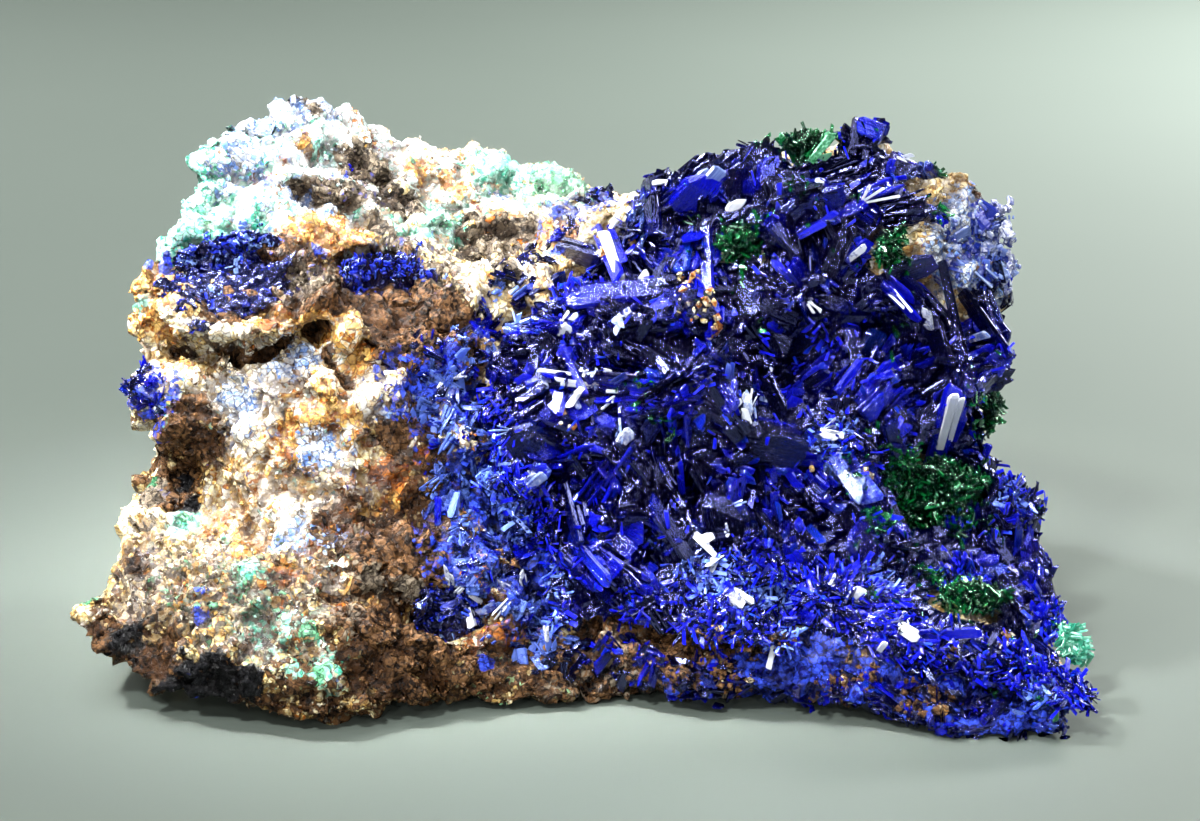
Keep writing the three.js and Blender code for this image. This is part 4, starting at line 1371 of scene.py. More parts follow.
BIT_SPOTS: tuple[Spot, ...] = (
    (698, 298, 1.9), (688, 280, 1.4), (710, 318, 1.6), (716, 330, 1.1), (730, 660, 2.6), (716, 640, 1.8),
    (800, 650, 2.2), (835, 664, 2.8), (860, 676, 2), (925, 694, 2.4), (950, 700, 1.6), (790, 592, 0.7),
    (640, 382, 0.6), (872, 482, 0.6), (600, 245, 0.5), (630, 240, 0.5), (560, 420, 0.7), (505, 560, 0.8),
    (760, 300, 0.6), (700, 470, 0.5), (1000, 640, 0.8), (950, 650, 0.8), (810, 470, 0.7), (470, 440, 0.8),
    (500, 620, 0.8), (660, 668, 1),
)


def chip() -> tuple[Array, Array]:
    """The corners and the triangles of a chip of eight facets."""
    points = np.array([(1, 0, 0), (-1, 0, 0), (0, 1, 0), (0, -1, 0), (0, 0, 1), (0, 0, -1)], float)
    ring = ((0, 2), (2, 1), (1, 3), (3, 0))
    return points, np.array([(a, b, 4) for a, b in ring] + [(b, a, 5) for a, b in ring])


def pebble() -> tuple[Array, Array]:
    """The corners and the triangles of a ball of twenty facets."""
    ratio = (1 + math.sqrt(5)) / 2
    corners = []
    for a in (-1.0, 1.0):
        for b in (-ratio, ratio):
            corners += [(0.0, a, b), (a, b, 0.0), (b, 0.0, a)]
    points = unit(np.array(corners))
    faces = []
    for i, j, k in combinations(range(len(points)), 3):
        a, b, c = points[[i, j, k]]
        if max(np.linalg.norm(a - b), np.linalg.norm(b - c), np.linalg.norm(a - c)) < 1.1:
            faces.append((i, j, k) if np.cross(b - a, c - a) @ a > 0 else (i, k, j))
    return points, np.array(faces)


def cobble() -> tuple[Array, Array]:
    """The corners and the triangles of a ball of eighty facets."""
    corners, faces = pebble()
    points = list(corners)
    between: dict[tuple[int, int], int] = {}
    split = []
    for a, b, c in faces.tolist():
        middles = []
        for one, two in ((a, b), (b, c), (c, a)):
            pair = (min(one, two), max(one, two))
            if pair not in between:
                between[pair] = len(points)
                points.append(unit(corners[one] + corners[two]))
            middles.append(between[pair])
        ab, bc, ca = middles
        split += [(a, ab, ca), (ab, b, bc), (ca, bc, c), (ab, bc, ca)]
    return np.array(points), np.array(split)


class Shape(Enum):
    """The shape of a loose bit of rock, by the number of its facets."""

    CHIP = 8
    PEBBLE = 20
    COBBLE = 80

    def facets(self) -> tuple[Array, Array]:
        """Its corners and its triangles."""
        return {Shape.CHIP: chip, Shape.PEBBLE: pebble, Shape.COBBLE: cobble}[self]()


@dataclass(frozen=True)
class Loose:
    """Loose bits of rock, with sizes in millimetres.

    Each stands out by a share of its size. The whole ones are of one mineral each, and the others change over
    their skin. The relief is how high their finish takes them to be, and so how much painted shade it gives them.
    """

    name: str
    draw: Draw
    shape: Shape
    count: int
    size: tuple[float, float]
    stand: float
    relief: float
    lowest: float = -1.0
    spots: tuple[Spot, ...] = ()
    edge: tuple[float, float] = (0.0, 0.4)
    whole: bool = True

    def chances(self, surface: Surface) -> Array:
        """How likely each triangle of a surface is to have a bit on it.

        Args:
            surface: The surface.

        Returns:
            A number for each triangle.
        """
        chances = (surface.middles[:, 2] > self.lowest).astype(float)
        if self.spots:
            chances *= smoothstep(spots_at(surface.middles, self.spots, surface), *self.edge)
        return chances

    def scatter(self, surface: Surface, chances: Array) -> tuple[Mesh, Array]:
        """Makes the bits as one mesh.

        Args:
            surface: What they lie on.
            chances: How likely each of its triangles is to have one.

        Returns:
            The mesh, and for each of its vertices the place that its mineral is read at.
        """
        rng = self.draw.numbers()
        places, normals, _ = surface.scatter(self.count, rng, chances)
        corners, faces = self.shape.facets()
        size = rng.uniform(*self.size, (self.count, 1, 1)) ** 1.4
        stretch = rng.uniform(0.55, 1.3, (self.count, 1, 3))
        dents = rng.uniform(0.72, 1.2, (self.count, len(corners), 1))
        turn = np.linalg.qr(rng.normal(size=(self.count, 3, 3)))[0]
        turn[:, :, 0] *= np.sign(np.linalg.det(turn))[:, None]
        shape = (corners[None] * dents * stretch * size / 2) @ turn
        points = (shape + (places + self.stand * normals * size[:, 0])[:, None]).reshape(-1, 3)
        starts = (np.arange(self.count) * len(corners))[:, None, None]
        mesh = mesh_of(self.name, points, [(faces[None] + starts).reshape(-1, 3)])
        if self.whole:
            places = np.repeat(places, len(corners), 0)
            relief = np.full(len(places), self.relief)
        else:
            places = points_of(mesh)
            relief = self.relief * noise_at(places, 0.8, Wave.LUMP_RELIEF)
        write_numbers(mesh, "relief", relief)
        return mesh, places


@dataclass
class Rock:
    """The block of quartz and limonite, and the loose bits that stand out of it."""

    voxel: float = 0.5
    rounding: int = 5
    facets: tuple[float, float] = (3.1, 1.25)
    growths: tuple[Growth, ...] = GROWTHS
    loose: tuple[Loose, ...] = (
        Loose("rock_grains", Draw.GRAINS, Shape.PEBBLE, 5600, (0.3, 0.8), -0.1, 0.6, lowest=0.4),
        Loose("rock_chips", Draw.CHIPS, Shape.CHIP, 9500, (0.3, 0.85), 0.0, 0.4, lowest=0.3),
        Loose("rock_lumps", Draw.LUMPS, Shape.COBBLE, 150, (0.9, 1.9), -0.12, 0.5, spots=LUMP_SPOTS, whole=False),
    )
    caught: Loose = Loose(
        "crust_bits", Draw.BITS, Shape.CHIP, 900, (0.35, 1.05), 0.3, 0.6, spots=BIT_SPOTS, edge=(-0.1, 0.5)
    )
    creases: tuple[Crease, ...] = (
        Crease(((150, 330), (175, 336), (200, 342), (245, 344), (290, 326), (330, 300)), 0.5, 1.5),
        Crease(((165, 345), (205, 351), (250, 353), (300, 334), (336, 311)), 0.8, -1.9),
        Crease(((318, 300), (345, 325), (372, 355), (395, 385)), 1.3, 1.4),
        Crease(((300, 320), (330, 345), (352, 375)), 1.3, -1.2),
        Crease(((176, 430), (182, 460), (180, 500)), 2.0, 1.3),
        Crease(((262, 250), (290, 262), (330, 268)), 0.7, 0.9),
        Crease(((250, 282), (290, 296), (330, 292)), 0.6, -1.2),
        Crease(((110, 590), (160, 640), (240, 660)), 1.2, -0.8),
        Crease(((320, 592), (368, 596)), 0.8, -1.2),
        Crease(((290, 175), (330, 190), (400, 200), (430, 222)), 2.2, 1.2),
        Crease(((225, 245), (300, 262), (340, 285)), 1.6, 0.9),
    )
    mesh: Mesh = field(init=False)
    skin: Surface = field(init=False)
    groove: Array = field(init=False)
    materials: tuple[Material, Material] = field(init=False)

    def build(self, node: Item, surface: Surface) -> None:
        """Makes the block and the loose bits on it.

        Args:
            node: The solid that it replaces.
            surface: The solid's surface, which the spots are on.
        """
        self.mesh = remeshed(node, "rock", self.voxel, self.rounding)
        points, normals = points_of(self.mesh), normals_of(self.mesh)
        swell = 0.9 * noise_at(points, 6.0, Wave.SWELL, 2)
        big, big_edge = facets_at(points, self.facets[0], Wave.BIG_FACETS)
        small, small_edge = facets_at(points, self.facets[1], Wave.SMALL_FACETS)
        height = swell + 0.62 * big + 0.3 * small
        height -= 0.45 * (1 - smoothstep(big_edge, 0.0, 0.14)) + 0.22 * (1 - smoothstep(small_edge, 0.0, 0.2))
        carved = np.sum([crease.heights(points, surface) for crease in self.creases], 0)
        height += carved
        # how deep each vertex lies in a groove: grooves are painted brown as shade, and no loose bits lie in them
        self.groove = smoothstep(-carved, 0.5, 1.2)
        points = move_points(self.mesh, points + normals * height[:, None])
        # the relief sets where the finish paints shade: low places and facet edges come out darker
        relief = 0.7 * big + 0.6 * small - 0.6 * (1 - smoothstep(big_edge, 0.0, 0.2))
        write_numbers(self.mesh, "relief", relief)
        self.dress(self.mesh, points, surface, self.groove)
        self.mesh.polygons.foreach_set("use_smooth", np.ones(len(self.mesh.polygons), bool))
        self.materials = (RockFinish().build("quartz_and_limonite"), RockFinish(gloss=0.1).build("goethite"))
        piece = placed(self.mesh, self.materials)
        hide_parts("matrix")
        self.skin = Surface([self.mesh])
        for loose in self.loose:
            chances = loose.chances(self.skin) * (1 - self.groove[self.skin.triangles[:, 0]])
            mesh, places = loose.scatter(self.skin, chances)
            self.dress(mesh, places, surface)
            placed(mesh, self.materials)

    def dress(self, mesh: Mesh, points: Array, surface: Surface, groove: Array | float = 0.0) -> None:
        """Keeps on a mesh where each mineral shows.

        Args:
            mesh: The mesh.
            points: Where the mineral of each of its vertices is read.
            surface: What the spots are on.
            groove: How deep in a groove each vertex is, 0 to 1; grooves are painted brown, as shade.
        """
        dull = np.zeros(len(points))
        for i, growth in enumerate(self.growths):
            share = growth.shares(points, surface, i)
            # painted shade: the grooves take the brown mineral, for the shade that falls in them
            share = np.maximum(share, groove) if growth.mineral == Mineral.BROWN else share
            write_numbers(mesh, growth.mineral.value, share)
            dull = np.maximum(dull, share) if growth.dull else dull
        write_numbers(mesh, "dull", dull)

    def crust_bits(self, crust: Surface) -> None:
        """Makes the bits of rock caught in the crust, browner low down.

        Args:
            crust: The crust's surface.
        """
        mesh, middles = self.caught.scatter(crust, self.caught.chances(crust))
        low = smoothstep(-middles[:, 2], -16.0, -11.0)
        shares = {
            Mineral.CREAM: 0.7 - 0.5 * low,
            Mineral.OCHRE: 0.4,
            Mineral.RUST: 0.5,
            Mineral.BROWN: 0.3 + 0.7 * low,
        }
        for i, mineral in enumerate(Mineral):
            least = -1.2 if mineral == Mineral.BROWN else -0.6
            clouds = smoothstep(noise_at(middles, 1.2, Wave.BITS + i), least, 0.2)
            write_numbers(mesh, mineral.value, shares.get(mineral, 0.0) * clouds)
        placed(mesh, self.materials[1:])


@dataclass(frozen=True)
class Ground:
    """The ground that crystals grow on: a solid's skin, broken into tiny facets, with sizes in millimetres."""

    voxel: float
    rounding: int
    facet: float
    depth: float
    lower: float = 0.0

    def mesh(self, node: Item, name: str) -> Mesh:
        """Makes the ground.

        Args:
            node: The solid.
            name: The mesh's name.

        Returns:
            The mesh, with what a blade's finish reads.
        """
        mesh = remeshed(node, name, self.voxel, self.rounding)
        points, normals = points_of(mesh), normals_of(mesh)
        big, edge = facets_at(points, self.facet, Wave.GROUND_FACETS)
        small, _ = facets_at(points, self.facet * 0.55, Wave.GROUND_CHIPS)
        swell = 0.8 * noise_at(points, 3.0, Wave.GROUND_SWELL, 2)
        height = self.depth * (swell + big + 0.5 * small - 0.6 * (1 - smoothstep(edge, 0, 0.2)))
        height = np.maximum(height - self.lower, -0.3 * Surface([mesh]).room(points, normals))
        points = move_points(mesh, points + normals * height[:, None])
        write_numbers(mesh, "grain", points)
        # painted shade: the ground is lighter on its raised facets and darker on its sunk ones
        write_numbers(mesh, "height", smoothstep(big, -1, 1) * 0.4)
        write_numbers(mesh, "shade", smoothstep(small, -1, 1) * 0.8)
        return mesh


def steady(facings: Array, places: Array, heart: Place) -> Array:
    """The facings, turned part of the way to the direction away from a middle point."""
    return unit(facings + 1.2 * unit(places - np.array(heart)))


def outermost(grown: Surface, places: Array, facings: Array) -> tuple[Array, Array]:
    """The outermost places over others, and the normals there.

    Args:
        grown: The surface that they are on.
        places: Places on the ground.
        facings: The outward direction at each.

    Returns:
        The places and the normals.
    """
    found, normals = [], []
    for place, facing in zip(places, facings):
        hit, normal, _, _ = grown.tree.ray_cast(Vector(place + facing * 7.0), Vector(-facing))
        if hit is not None:
            found.append(np.array(hit))
            normals.append(unit(np.array(normal) + 0.5 * facing))
    return np.array(found), np.array(normals)


@dataclass
class Crust:
    """The blue crust: its ground of tiny facets, and the sheaves of blades that grow on it."""

    ground: Ground = Ground(0.55, 14, 1.7, 0.4)
    heart: Place = (14.0, 16.0, 10.0)
    large: Sheaf = Sheaf(
        7, (3.8, 8.0), (0.15, 0.36), (0.2, 0.46), (-5, 38),
        opening=0.045, spread=0.05, sink=1.2, reach=1.1, shade=0.3, led=0.85, flat=0.15,
    )
    medium: Sheaf = Sheaf(
        6, (1.8, 4.2), (0.16, 0.46), (0.14, 0.3), (-5, 50),
        opening=0.07, spread=0.09, sink=0.9, reach=0.8, shade=0.32, led=0.85, flat=0.15,
    )
    small: Sheaf = Sheaf(
        3, (0.8, 1.9), (0.25, 0.65), (0.12, 0.28), (-5, 60),
        opening=0.1, spread=0.2, sink=0.4, reach=0.5, shade=0.6, led=0.6,
    )
    sugar: Sheaf = Sheaf(
        1, (0.6, 1.8), (0.13, 0.34), (0.1, 0.2), (-8, 26),
        opening=0.0, spread=0.2, sink=0.15, reach=9.0, shade=0.6, led=0.0, flat=0.5,
    )
    laths: Sheaf = Sheaf(
        4, (1.6, 3.8), (0.16, 0.4), (0.12, 0.26), (-8, 21),
        opening=0.08, spread=0.13, sink=0.7, reach=0.6, shade=0.34, led=0.0, flat=0.6,
    )
    counts: tuple[int, int, int] = (290, 560, 420)
    sugar_count: int = 4600
    skirt_counts: tuple[int, int] = (330, 560)

    voids: tuple[Spot, ...] = (
        (598, 612, 3.4), (570, 580, 2.4), (655, 470, 2.6), (565, 515, 2), (745, 405, 2.2), (870, 335, 2.8),
        (785, 335, 3), (905, 430, 2), (745, 255, 2.4), (610, 440, 2), (820, 245, 2.2), (700, 330, 1.6),
        (930, 520, 2.4), (690, 540, 2), (650, 560, 1.6), (880, 250, 1.4), (950, 372, 1.4), (860, 660, 1.6),
        (600, 325, 1.4), (780, 500, 1.8), (840, 500, 1.6), (900, 610, 1.6), (710, 110, 1), (760, 640, 1.8),
    )
    bare: tuple[Spot, ...] = ((984, 236, 5.2), (1000, 214, 4.0), (990, 262, 3.6), (804, 142, 2.4))
    fine: tuple[Spot, ...] = (
        (450, 430, 5), (470, 490, 6), (500, 540, 5), (530, 600, 5), (560, 640, 5), (620, 640, 4), (720, 600, 5),
        (780, 620, 6), (860, 600, 5), (800, 670, 5), (900, 660, 5), (1000, 700, 5), (1060, 690, 4), (1075, 640, 3),
        (620, 205, 4), (430, 390, 3), (560, 240, 3), (830, 440, 2.5), (1005, 500, 3), (800, 340, 3), (960, 600, 3),
    )
    pale: tuple[Spot, ...] = (
        (448, 440, 4), (455, 480, 4.4), (465, 520, 4), (485, 560, 4), (500, 600, 4), (530, 640, 3.6), (445, 395, 3),
        (470, 345, 2.6), (500, 300, 2.2), (660, 545, 2.4), (692, 562, 2.6), (715, 580, 3.4), (745, 600, 3.4),
        (775, 595, 3), (885, 585, 3.2), (905, 570, 2.4), (460, 500, 4), (485, 465, 3), (500, 535, 3.4),
        (450, 435, 2.4), (420, 400, 2.4), (510, 590, 2.6), (530, 630, 2.6), (562, 642, 2.6), (825, 440, 2.4),
        (845, 430, 2), (850, 475, 2.2), (640, 212, 2.4), (622, 205, 2), (905, 155, 2), (700, 190, 2), (1005, 500, 2),
        (1065, 650, 2.2), (1045, 700, 2.6), (800, 640, 2.4), (440, 400, 1.6), (640, 560, 1.6), (790, 375, 1.4),
        (900, 300, 1.2), (985, 270, 1.6),
    )

    blades: tuple[Blade, ...] = (
        Blade((596, 228), (619, 279), 1.4, 20, (0, 1.6), shade=0.9),
        Blade((610, 226), (624, 262), 0.8, 10, (0.4, 2), 0.4, shade=0.9),
        Blade((668, 286), (566, 298), 2.4, 25, (0, 1.2), 0.6, mates=2),
        Blade((662, 318), (606, 312), 2.6, 35, (-0.4, 1), 0.6, shade=0.3, mates=1),
        Blade((646, 286), (734, 382), 1.3, 40, (0.2, 2.6), 0.45, shade=0.8, mates=1),
        Blade((700, 352), (734, 412), 2, 25, (0.2, 2.2), 0.6, shade=0.5, mates=1),
        Blade((673, 228), (660, 276), 1.4, 45, (0, 1.6), mates=1),
        Blade((690, 226), (680, 272), 1.6, 30, (0.2, 1.9), shade=0.8, mates=2),
        Blade((706, 228), (708, 294), 1.3, 25, (0.4, 1.8), shade=0.7, mates=1),
        Blade((650, 172), (652, 236), 2.2, 55, (0, 1.4), 1, shade=0.3),
        Blade((676, 210), (712, 176), 3.4, 25, (-0.2, 1.6), 1.6, shade=0.8, dust=0.2),
        Blade((708, 214), (711, 158), 2, 35, (-0.4, 0.6), 1.2, shade=0.2, mates=1),
        Blade((764, 192), (770, 156), 2.2, 25, (-0.3, 0.8), 0.8, shade=0.7, dust=0.3, mates=3),
        Blade((736, 204), (746, 160), 3, 35, (-0.6, 0.6), 1, shade=0.3),
        Blade((620, 392), (540, 372), 1.6, 70, (0, 1.8), 0.4, shade=0.7, mates=5),
        Blade((600, 378), (572, 344), 3, 20, (0.2, 1.4), 0.4, shade=0.8, dust=0.2, mates=2),
        *(
            Blade(
                (898 + 7 * i, 178), (897 + 7 * i, 143 + 2 * abs(i - 3)), 0.9, 30 + 10 * (i % 3), (0.0, 0.8), 0.6,
                shade=0.5 + 0.2 * (i % 2), dust=0.2 + 0.25 * (i % 3),
            )
            for i in range(7)
        ),
        Blade((862, 202), (903, 186), 1.2, 80, (0.6, 1.8), 0.3, shade=0.9, mates=3),
        Blade((846, 262), (870, 240), 1.7, 30, (0.2, 1.8), 0.5, shade=0.9, mates=1),
        Blade((886, 280), (936, 260), 2.6, 30, (0, 1.2), 0.7, shade=0.35),
        Blade((942, 262), (972, 398), 1.1, 25, (0.4, 1.4), 0.6, shade=0.3, dust=0.3),
        Blade((882, 284), (920, 322), 1.6, 60, (0.4, 1.8), 0.3, shade=0.9, mates=3),
        Blade((962, 292), (1012, 356), 1.6, 40, (0.2, 1.2), 0.7, shade=0.3, mates=2),
        Blade((980, 290), (1010, 334), 1.3, 40, (0.4, 1.4), 0.6, shade=0.4, mates=1),
        Blade((962, 340), (994, 322), 2.4, 20, (0.2, 1.4), 0.7, shade=0.8, dust=0.3, mates=1),
        Blade((930, 386), (968, 362), 2.8, 35, (0.2, 1.4), 0.8, shade=0.2),
        Blade((932, 468), (958, 388), 2.2, 12, (0.4, 2.4), 0.7, shade=1, mates=1),
        Blade((724, 436), (806, 458), 4.2, 30, (0, 1.6), 0.9, shade=0.3, mates=1),
        Blade((726, 542), (722, 496), 4, 30, (-0.2, 1.2), 1.6, shade=0.25),
        Blade((836, 452), (872, 504), 2.6, 15, (0.4, 2.2), 0.6, shade=0.9, dust=0.6),
        Blade((884, 566), (856, 520), 4.4, 25, (0, 1.6), 0.8, shade=0.5, dust=0.2, mates=1),
        Blade((878, 636), (982, 632), 1, 20, (0.2, 1.4), 0.6, shade=0.9),
        Blade((890, 626), (924, 646), 1.2, 10, (0.4, 1.8), 0.5, shade=0.9),
        Blade((990, 658), (1012, 636), 0.8, 10, (0.4, 1.8), 0.4, shade=0.9),
        Blade((500, 462), (540, 426), 3.4, 25, (-0.3, 1.2), 1.6, shade=0.3),
        Blade((516, 492), (548, 466), 1.6, 10, (0.4, 1.8), 0.5, shade=0.8, dust=0.6),
        Blade((540, 478), (556, 548), 1.6, 50, (0, 1.8), 0.7, shade=0.2, mates=3),
        Blade((562, 476), (580, 546), 1.4, 55, (0.2, 2), 0.6, shade=0.3, mates=2),
        Blade((566, 532), (610, 584), 1.3, 35, (0.2, 2.4), 0.6, shade=0.8, dust=0.2, mates=1),
        Blade((540, 538), (600, 592), 1.2, 45, (0.2, 2), 0.5, shade=0.5, mates=2),
        Blade((598, 590), (646, 624), 1.3, 35, (0.2, 1.8), 0.6, shade=0.6, mates=1),
        Blade((596, 500), (632, 448), 1.2, 75, (0.2, 2.2), 0.3, shade=0.7),
        Blade((560, 458), (592, 444), 1, 70, (0.4, 1.8), 0.3, shade=0.8),
        Blade((682, 494), (679, 462), 0.8, 40, (0.4, 2), 0.3, shade=0.9),
        Blade((602, 512), (644, 534), 2.4, 25, (0, 1.6), 0.4, shade=0.8),
        Blade((640, 420), (700, 400), 1.8, 60, (0.2, 1.8), 0.5, shade=0.5, mates=3),
        Blade((650, 470), (620, 400), 2, 50, (0, 1.6), 0.5, shade=0.4, mates=3),
        Blade((690, 560), (650, 500), 1.8, 40, (0, 1.6), 0.5, shade=0.4, mates=2),
        Blade((800, 250), (770, 214), 2.6, 30, (0, 1.4), 0.8, shade=0.4, mates=2),
        Blade((820, 300), (790, 262), 2.2, 35, (0, 1.4), 0.7, shade=0.5, mates=2),
        Blade((850, 380), (880, 330), 2.2, 35, (0, 1.4), 0.7, shade=0.4, mates=2),
        Blade((800, 210), (846, 192), 2.4, 30, (0, 1.4), 0.8, shade=0.5, mates=1),
        Blade((830, 226), (820, 186), 2, 20, (0, 1.4), 0.7, shade=0.9, mates=1),
        Blade((1012, 566), (988, 534), 1.4, 40, (0, 1.4), 0.6, shade=0.4, mates=2),
        Blade((1058, 612), (1036, 582), 1.4, 40, (0, 1.4), 0.6, shade=0.4, mates=2),
        Blade((1000, 620), (1050, 660), 1.6, 40, (0, 1.4), 0.6, shade=0.3, mates=2),
        Blade((590, 430), (540, 410), 2.2, 30, (0, 1.4), 0.5, shade=0.4, mates=2),
        Blade((560, 250), (600, 262), 2, 35, (-0.2, 1), 0.7, shade=0.3, mates=2),
        Blade((530, 300), (566, 276), 1.8, 35, (-0.2, 1), 0.6, shade=0.4, mates=2),
        Blade((500, 340), (560, 330), 1.6, 35, (-0.2, 1), 0.6, shade=0.4, mates=2),
    )

    skirt: tuple[Spot, ...] = (
        (505, 520, 2.2), (514, 545, 2.2), (528, 572, 2.2), (542, 600, 2), (720, 680, 2.6), (760, 690, 2.8),
        (810, 690, 2.8), (850, 696, 2.8), (910, 700, 3), (940, 706, 3), (980, 708, 3.2), (1020, 712, 3.2),
        (1060, 706, 3), (470, 400, 2.6), (480, 430, 2.6), (486, 470, 2.6), (480, 505, 2.6), (492, 540, 2.4),
        (508, 580, 2.4), (540, 620, 2.4), (465, 375, 2.2), (495, 350, 2.2), (575, 650, 2.4), (610, 657, 2.4),
        (650, 664, 2.4), (690, 674, 2.4), (735, 694, 3), (790, 700, 3.2), (830, 706, 2.4), (880, 712, 3.2),
        (960, 716, 3.4), (1000, 722, 3.4), (1040, 722, 3.6), (1080, 712, 3.4), (455, 352, 2.4), (440, 380, 2.4),
        (436, 405, 2.2), (448, 435, 2.8), (452, 465, 3), (458, 495, 3), (464, 525, 3), (478, 555, 3), (492, 585, 2.8),
        (508, 612, 2.6), (528, 638, 2.6), (550, 655, 2.4), (480, 325, 2.4), (505, 290, 2.4), (530, 262, 2.2),
        (566, 228, 2), (600, 200, 2.2), (395, 262, 1), (312, 243, 1.2), (140, 392, 2.2), (135, 374, 1.6),
        (990, 285, 1.8), (345, 168, 0.9), (330, 176, 0.8), (270, 186, 0.8), (228, 268, 1.6), (1005, 300, 2.2),
        (415, 400, 1.2), (470, 570, 2), (440, 545, 1.2),
    )

    grown: Surface = field(init=False)

    def build(
        self, node: Item, solid: Surface, rock: Rock, keep_out: Array, finish: Material,
        druse: Material,
    ) -> None:
        """Makes the crust.

        Args:
            node: The solid that it replaces.
            solid: The surface of the block's solid.
            rock: The block.
            keep_out: Boxes that sheaves keep out of, as rows of a middle and half sizes.
            finish: The finish of blue blades.
            druse: The finish of the smallest ones and of the ground.
        """
        mesh = self.ground.mesh(node, "crust_ground")
        self.hollow(mesh, solid)
        write_numbers(mesh, "dust", np.clip(spots_at(points_of(mesh), self.pale, solid), 0, 1) * 0.6)
        ground = placed(mesh, (druse,))
        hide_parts("linarite_crust")
        surface = Surface([mesh])
        rng = Draw.CRUST.numbers()
        blades, laths, sugar = (Crystals(Draw.BLADES.numbers(i)) for i in range(3))
        deep = self.depths(surface, solid)
        fine = smoothstep(spots_at(surface.middles, self.fine, surface), -0.1, 0.4)
        coarse = self.cleared(smoothstep(deep, 0.4, 2.6) * (1 - 0.7 * fine), surface, solid, keep_out)
        free = (deep > 0) & (coarse > 0)
        both = Surface([rock.mesh, mesh])
        guides = np.array([np.concatenate(blade.pose(both)) for blade in self.blades])
        guides[:, 3:6] = unit(guides[:, 3:6])
        wishes = (coarse**2, np.sqrt(coarse), 0.06 + fine)
        parts = zip((self.large, self.medium, self.laths), self.counts, (blades, blades, laths), wishes)
        for sheaf, count, crystals, wish in parts:
            places, facings, chosen = surface.scatter(count, rng, np.where(free, wish, 0.0))
            scales = (0.45 + 0.55 * coarse[chosen]) * rng.uniform(0.75, 1.1, count)
            dusts = np.clip(spots_at(places, self.pale, surface) * 1.2, 0, 1) * rng.uniform(0.4, 1.0, count)
            outward = steady(facings, places, self.heart)
            sheaf.grow(crystals, surface, places, outward, scales, dusts, guides)
        for blade in self.blades:
            blade.grow(blades, both)
        self.grow_skirt(laths, rock.skin, rng)
        meshes = [blades.mesh("crust_blades"), laths.mesh("crust_druse")]
        self.grown = Surface([mesh, *meshes])
        clusters = smoothstep(noise_at(surface.middles, 2.6, Wave.CLUSTERS, 2), 0.05, 0.4)
        weights = np.where(free, 0.004 + 0.06 * clusters + fine, 0.0)
        weights *= 1 - smoothstep(spots_at(surface.middles, (*self.voids, *BIT_SPOTS), solid), -0.2, 0.4)
        places, facings, _ = surface.scatter(self.sugar_count, rng, weights)
        places, facings = outermost(self.grown, places, steady(facings, places, self.heart))
        dusts = np.clip(0.2 + spots_at(places, self.pale, surface), 0, 1) * rng.uniform(0.3, 1.0, len(places))
        self.sugar.grow(sugar, self.grown, places, facings, np.ones(len(places)), dusts)
        meshes.append(sugar.mesh("crust_sugar", plain=True))
        for part, material in zip(meshes, (finish, finish, druse)):
            placed(part, (material,))

    def cleared(self, share: Array, surface: Surface, solid: Surface, keep_out: Array) -> Array:
        """Keeps the large sheaves off the hollows, the bare places and the tufts.

        Args:
            share: How much of them grows at each triangle of the ground, 0 to 1.
            surface: The ground's surface.
            solid: What the spots are on.
            keep_out: Boxes that they keep out of, as rows of a middle and half sizes.

        Returns:
            The new shares.
        """
        share = share * (1 - smoothstep(spots_at(surface.middles, self.voids, solid), 0.0, 0.5))
        share *= 1 - smoothstep(spots_at(surface.middles, self.bare, solid), 0.0, 0.1)
        for box in keep_out:
            inside = np.linalg.norm((surface.middles - box[:3]) / (box[3:] + 0.4), axis=1)
            share *= np.where(inside < 1, 0.0, 1.0)
        return share

    def hollow(self, mesh: Mesh, solid: Surface) -> None:
        """Sinks the ground where the crust is open, and paints shade on it there and outside the fine places.

        Args:
            mesh: The ground.
            solid: What the spots are on.
        """
        points = points_of(mesh)
        inside = smoothstep(spots_at(points, self.voids, solid), 0.0, 0.8)
        points = points - unit(points - np.array(self.heart)) * (0.4 + 2.2 * inside)[:, None]
        points = move_points(mesh, points)
        fine = smoothstep(spots_at(points, self.fine, solid), -0.1, 0.4)
        # painted shade: the ground is darkened in the hollows and outside the fine places, between the coarse blades
        kept = mesh.attributes["shade"].data
        shade = values_of(kept, "value", 1) * (0.3 + 0.7 * fine) * (1 - 0.9 * inside)
        kept.foreach_set("value", shade.astype(np.float32))

    def grow_skirt(self, crystals: Crystals, skin: Surface, rng: Random) -> None:
        """Grows small sheaves on the rock round the crust.

        Args:
            crystals: What they are added to.
            skin: The block's surface.
            rng: The random numbers.
        """
        weights = smoothstep(spots_at(skin.middles, self.skirt, skin), -0.1, 0.5) * (skin.middles[:, 2] > 0.8)
        broad = [spot for spot in self.skirt if spot[2] > 1.6]
        large = weights * smoothstep(spots_at(skin.middles, broad, skin), -0.1, 0.5)
        for sheaf, count, chances in zip((self.small, self.laths), self.skirt_counts, (weights, large)):
            places, facings, _ = skin.scatter(count, rng, chances)
            dusts = np.clip(0.4 + 1.4 * spots_at(places, self.pale, skin), 0, 1) * rng.uniform(0.3, 1.0, count)
            sheaf.grow(crystals, skin, places, facings, rng.uniform(0.6, 1.1, count), dusts)

    @staticmethod
    def depths(surface: Surface, rock: Surface) -> Array:
        """How far the crust is from the rock.

        Args:
            surface: The crust's surface.
            rock: The rock's surface.

        Returns:
            A length for each triangle of the crust, and zero where it looks at the rock.
        """
        free = np.zeros(len(surface.triangles))
        for i, (middle, facing) in enumerate(zip(surface.middles, surface.facings)):
            start = Vector(middle + facing * 0.05)
            hit, _, _, distance = rock.tree.ray_cast(start, Vector(facing))
            near = rock.tree.find_nearest(start)
            buried = (start - near[0]).dot(near[1]) < 0
            free[i] = 0.0 if buried or (hit is not None and distance < 6.0) else near[3]
        return free


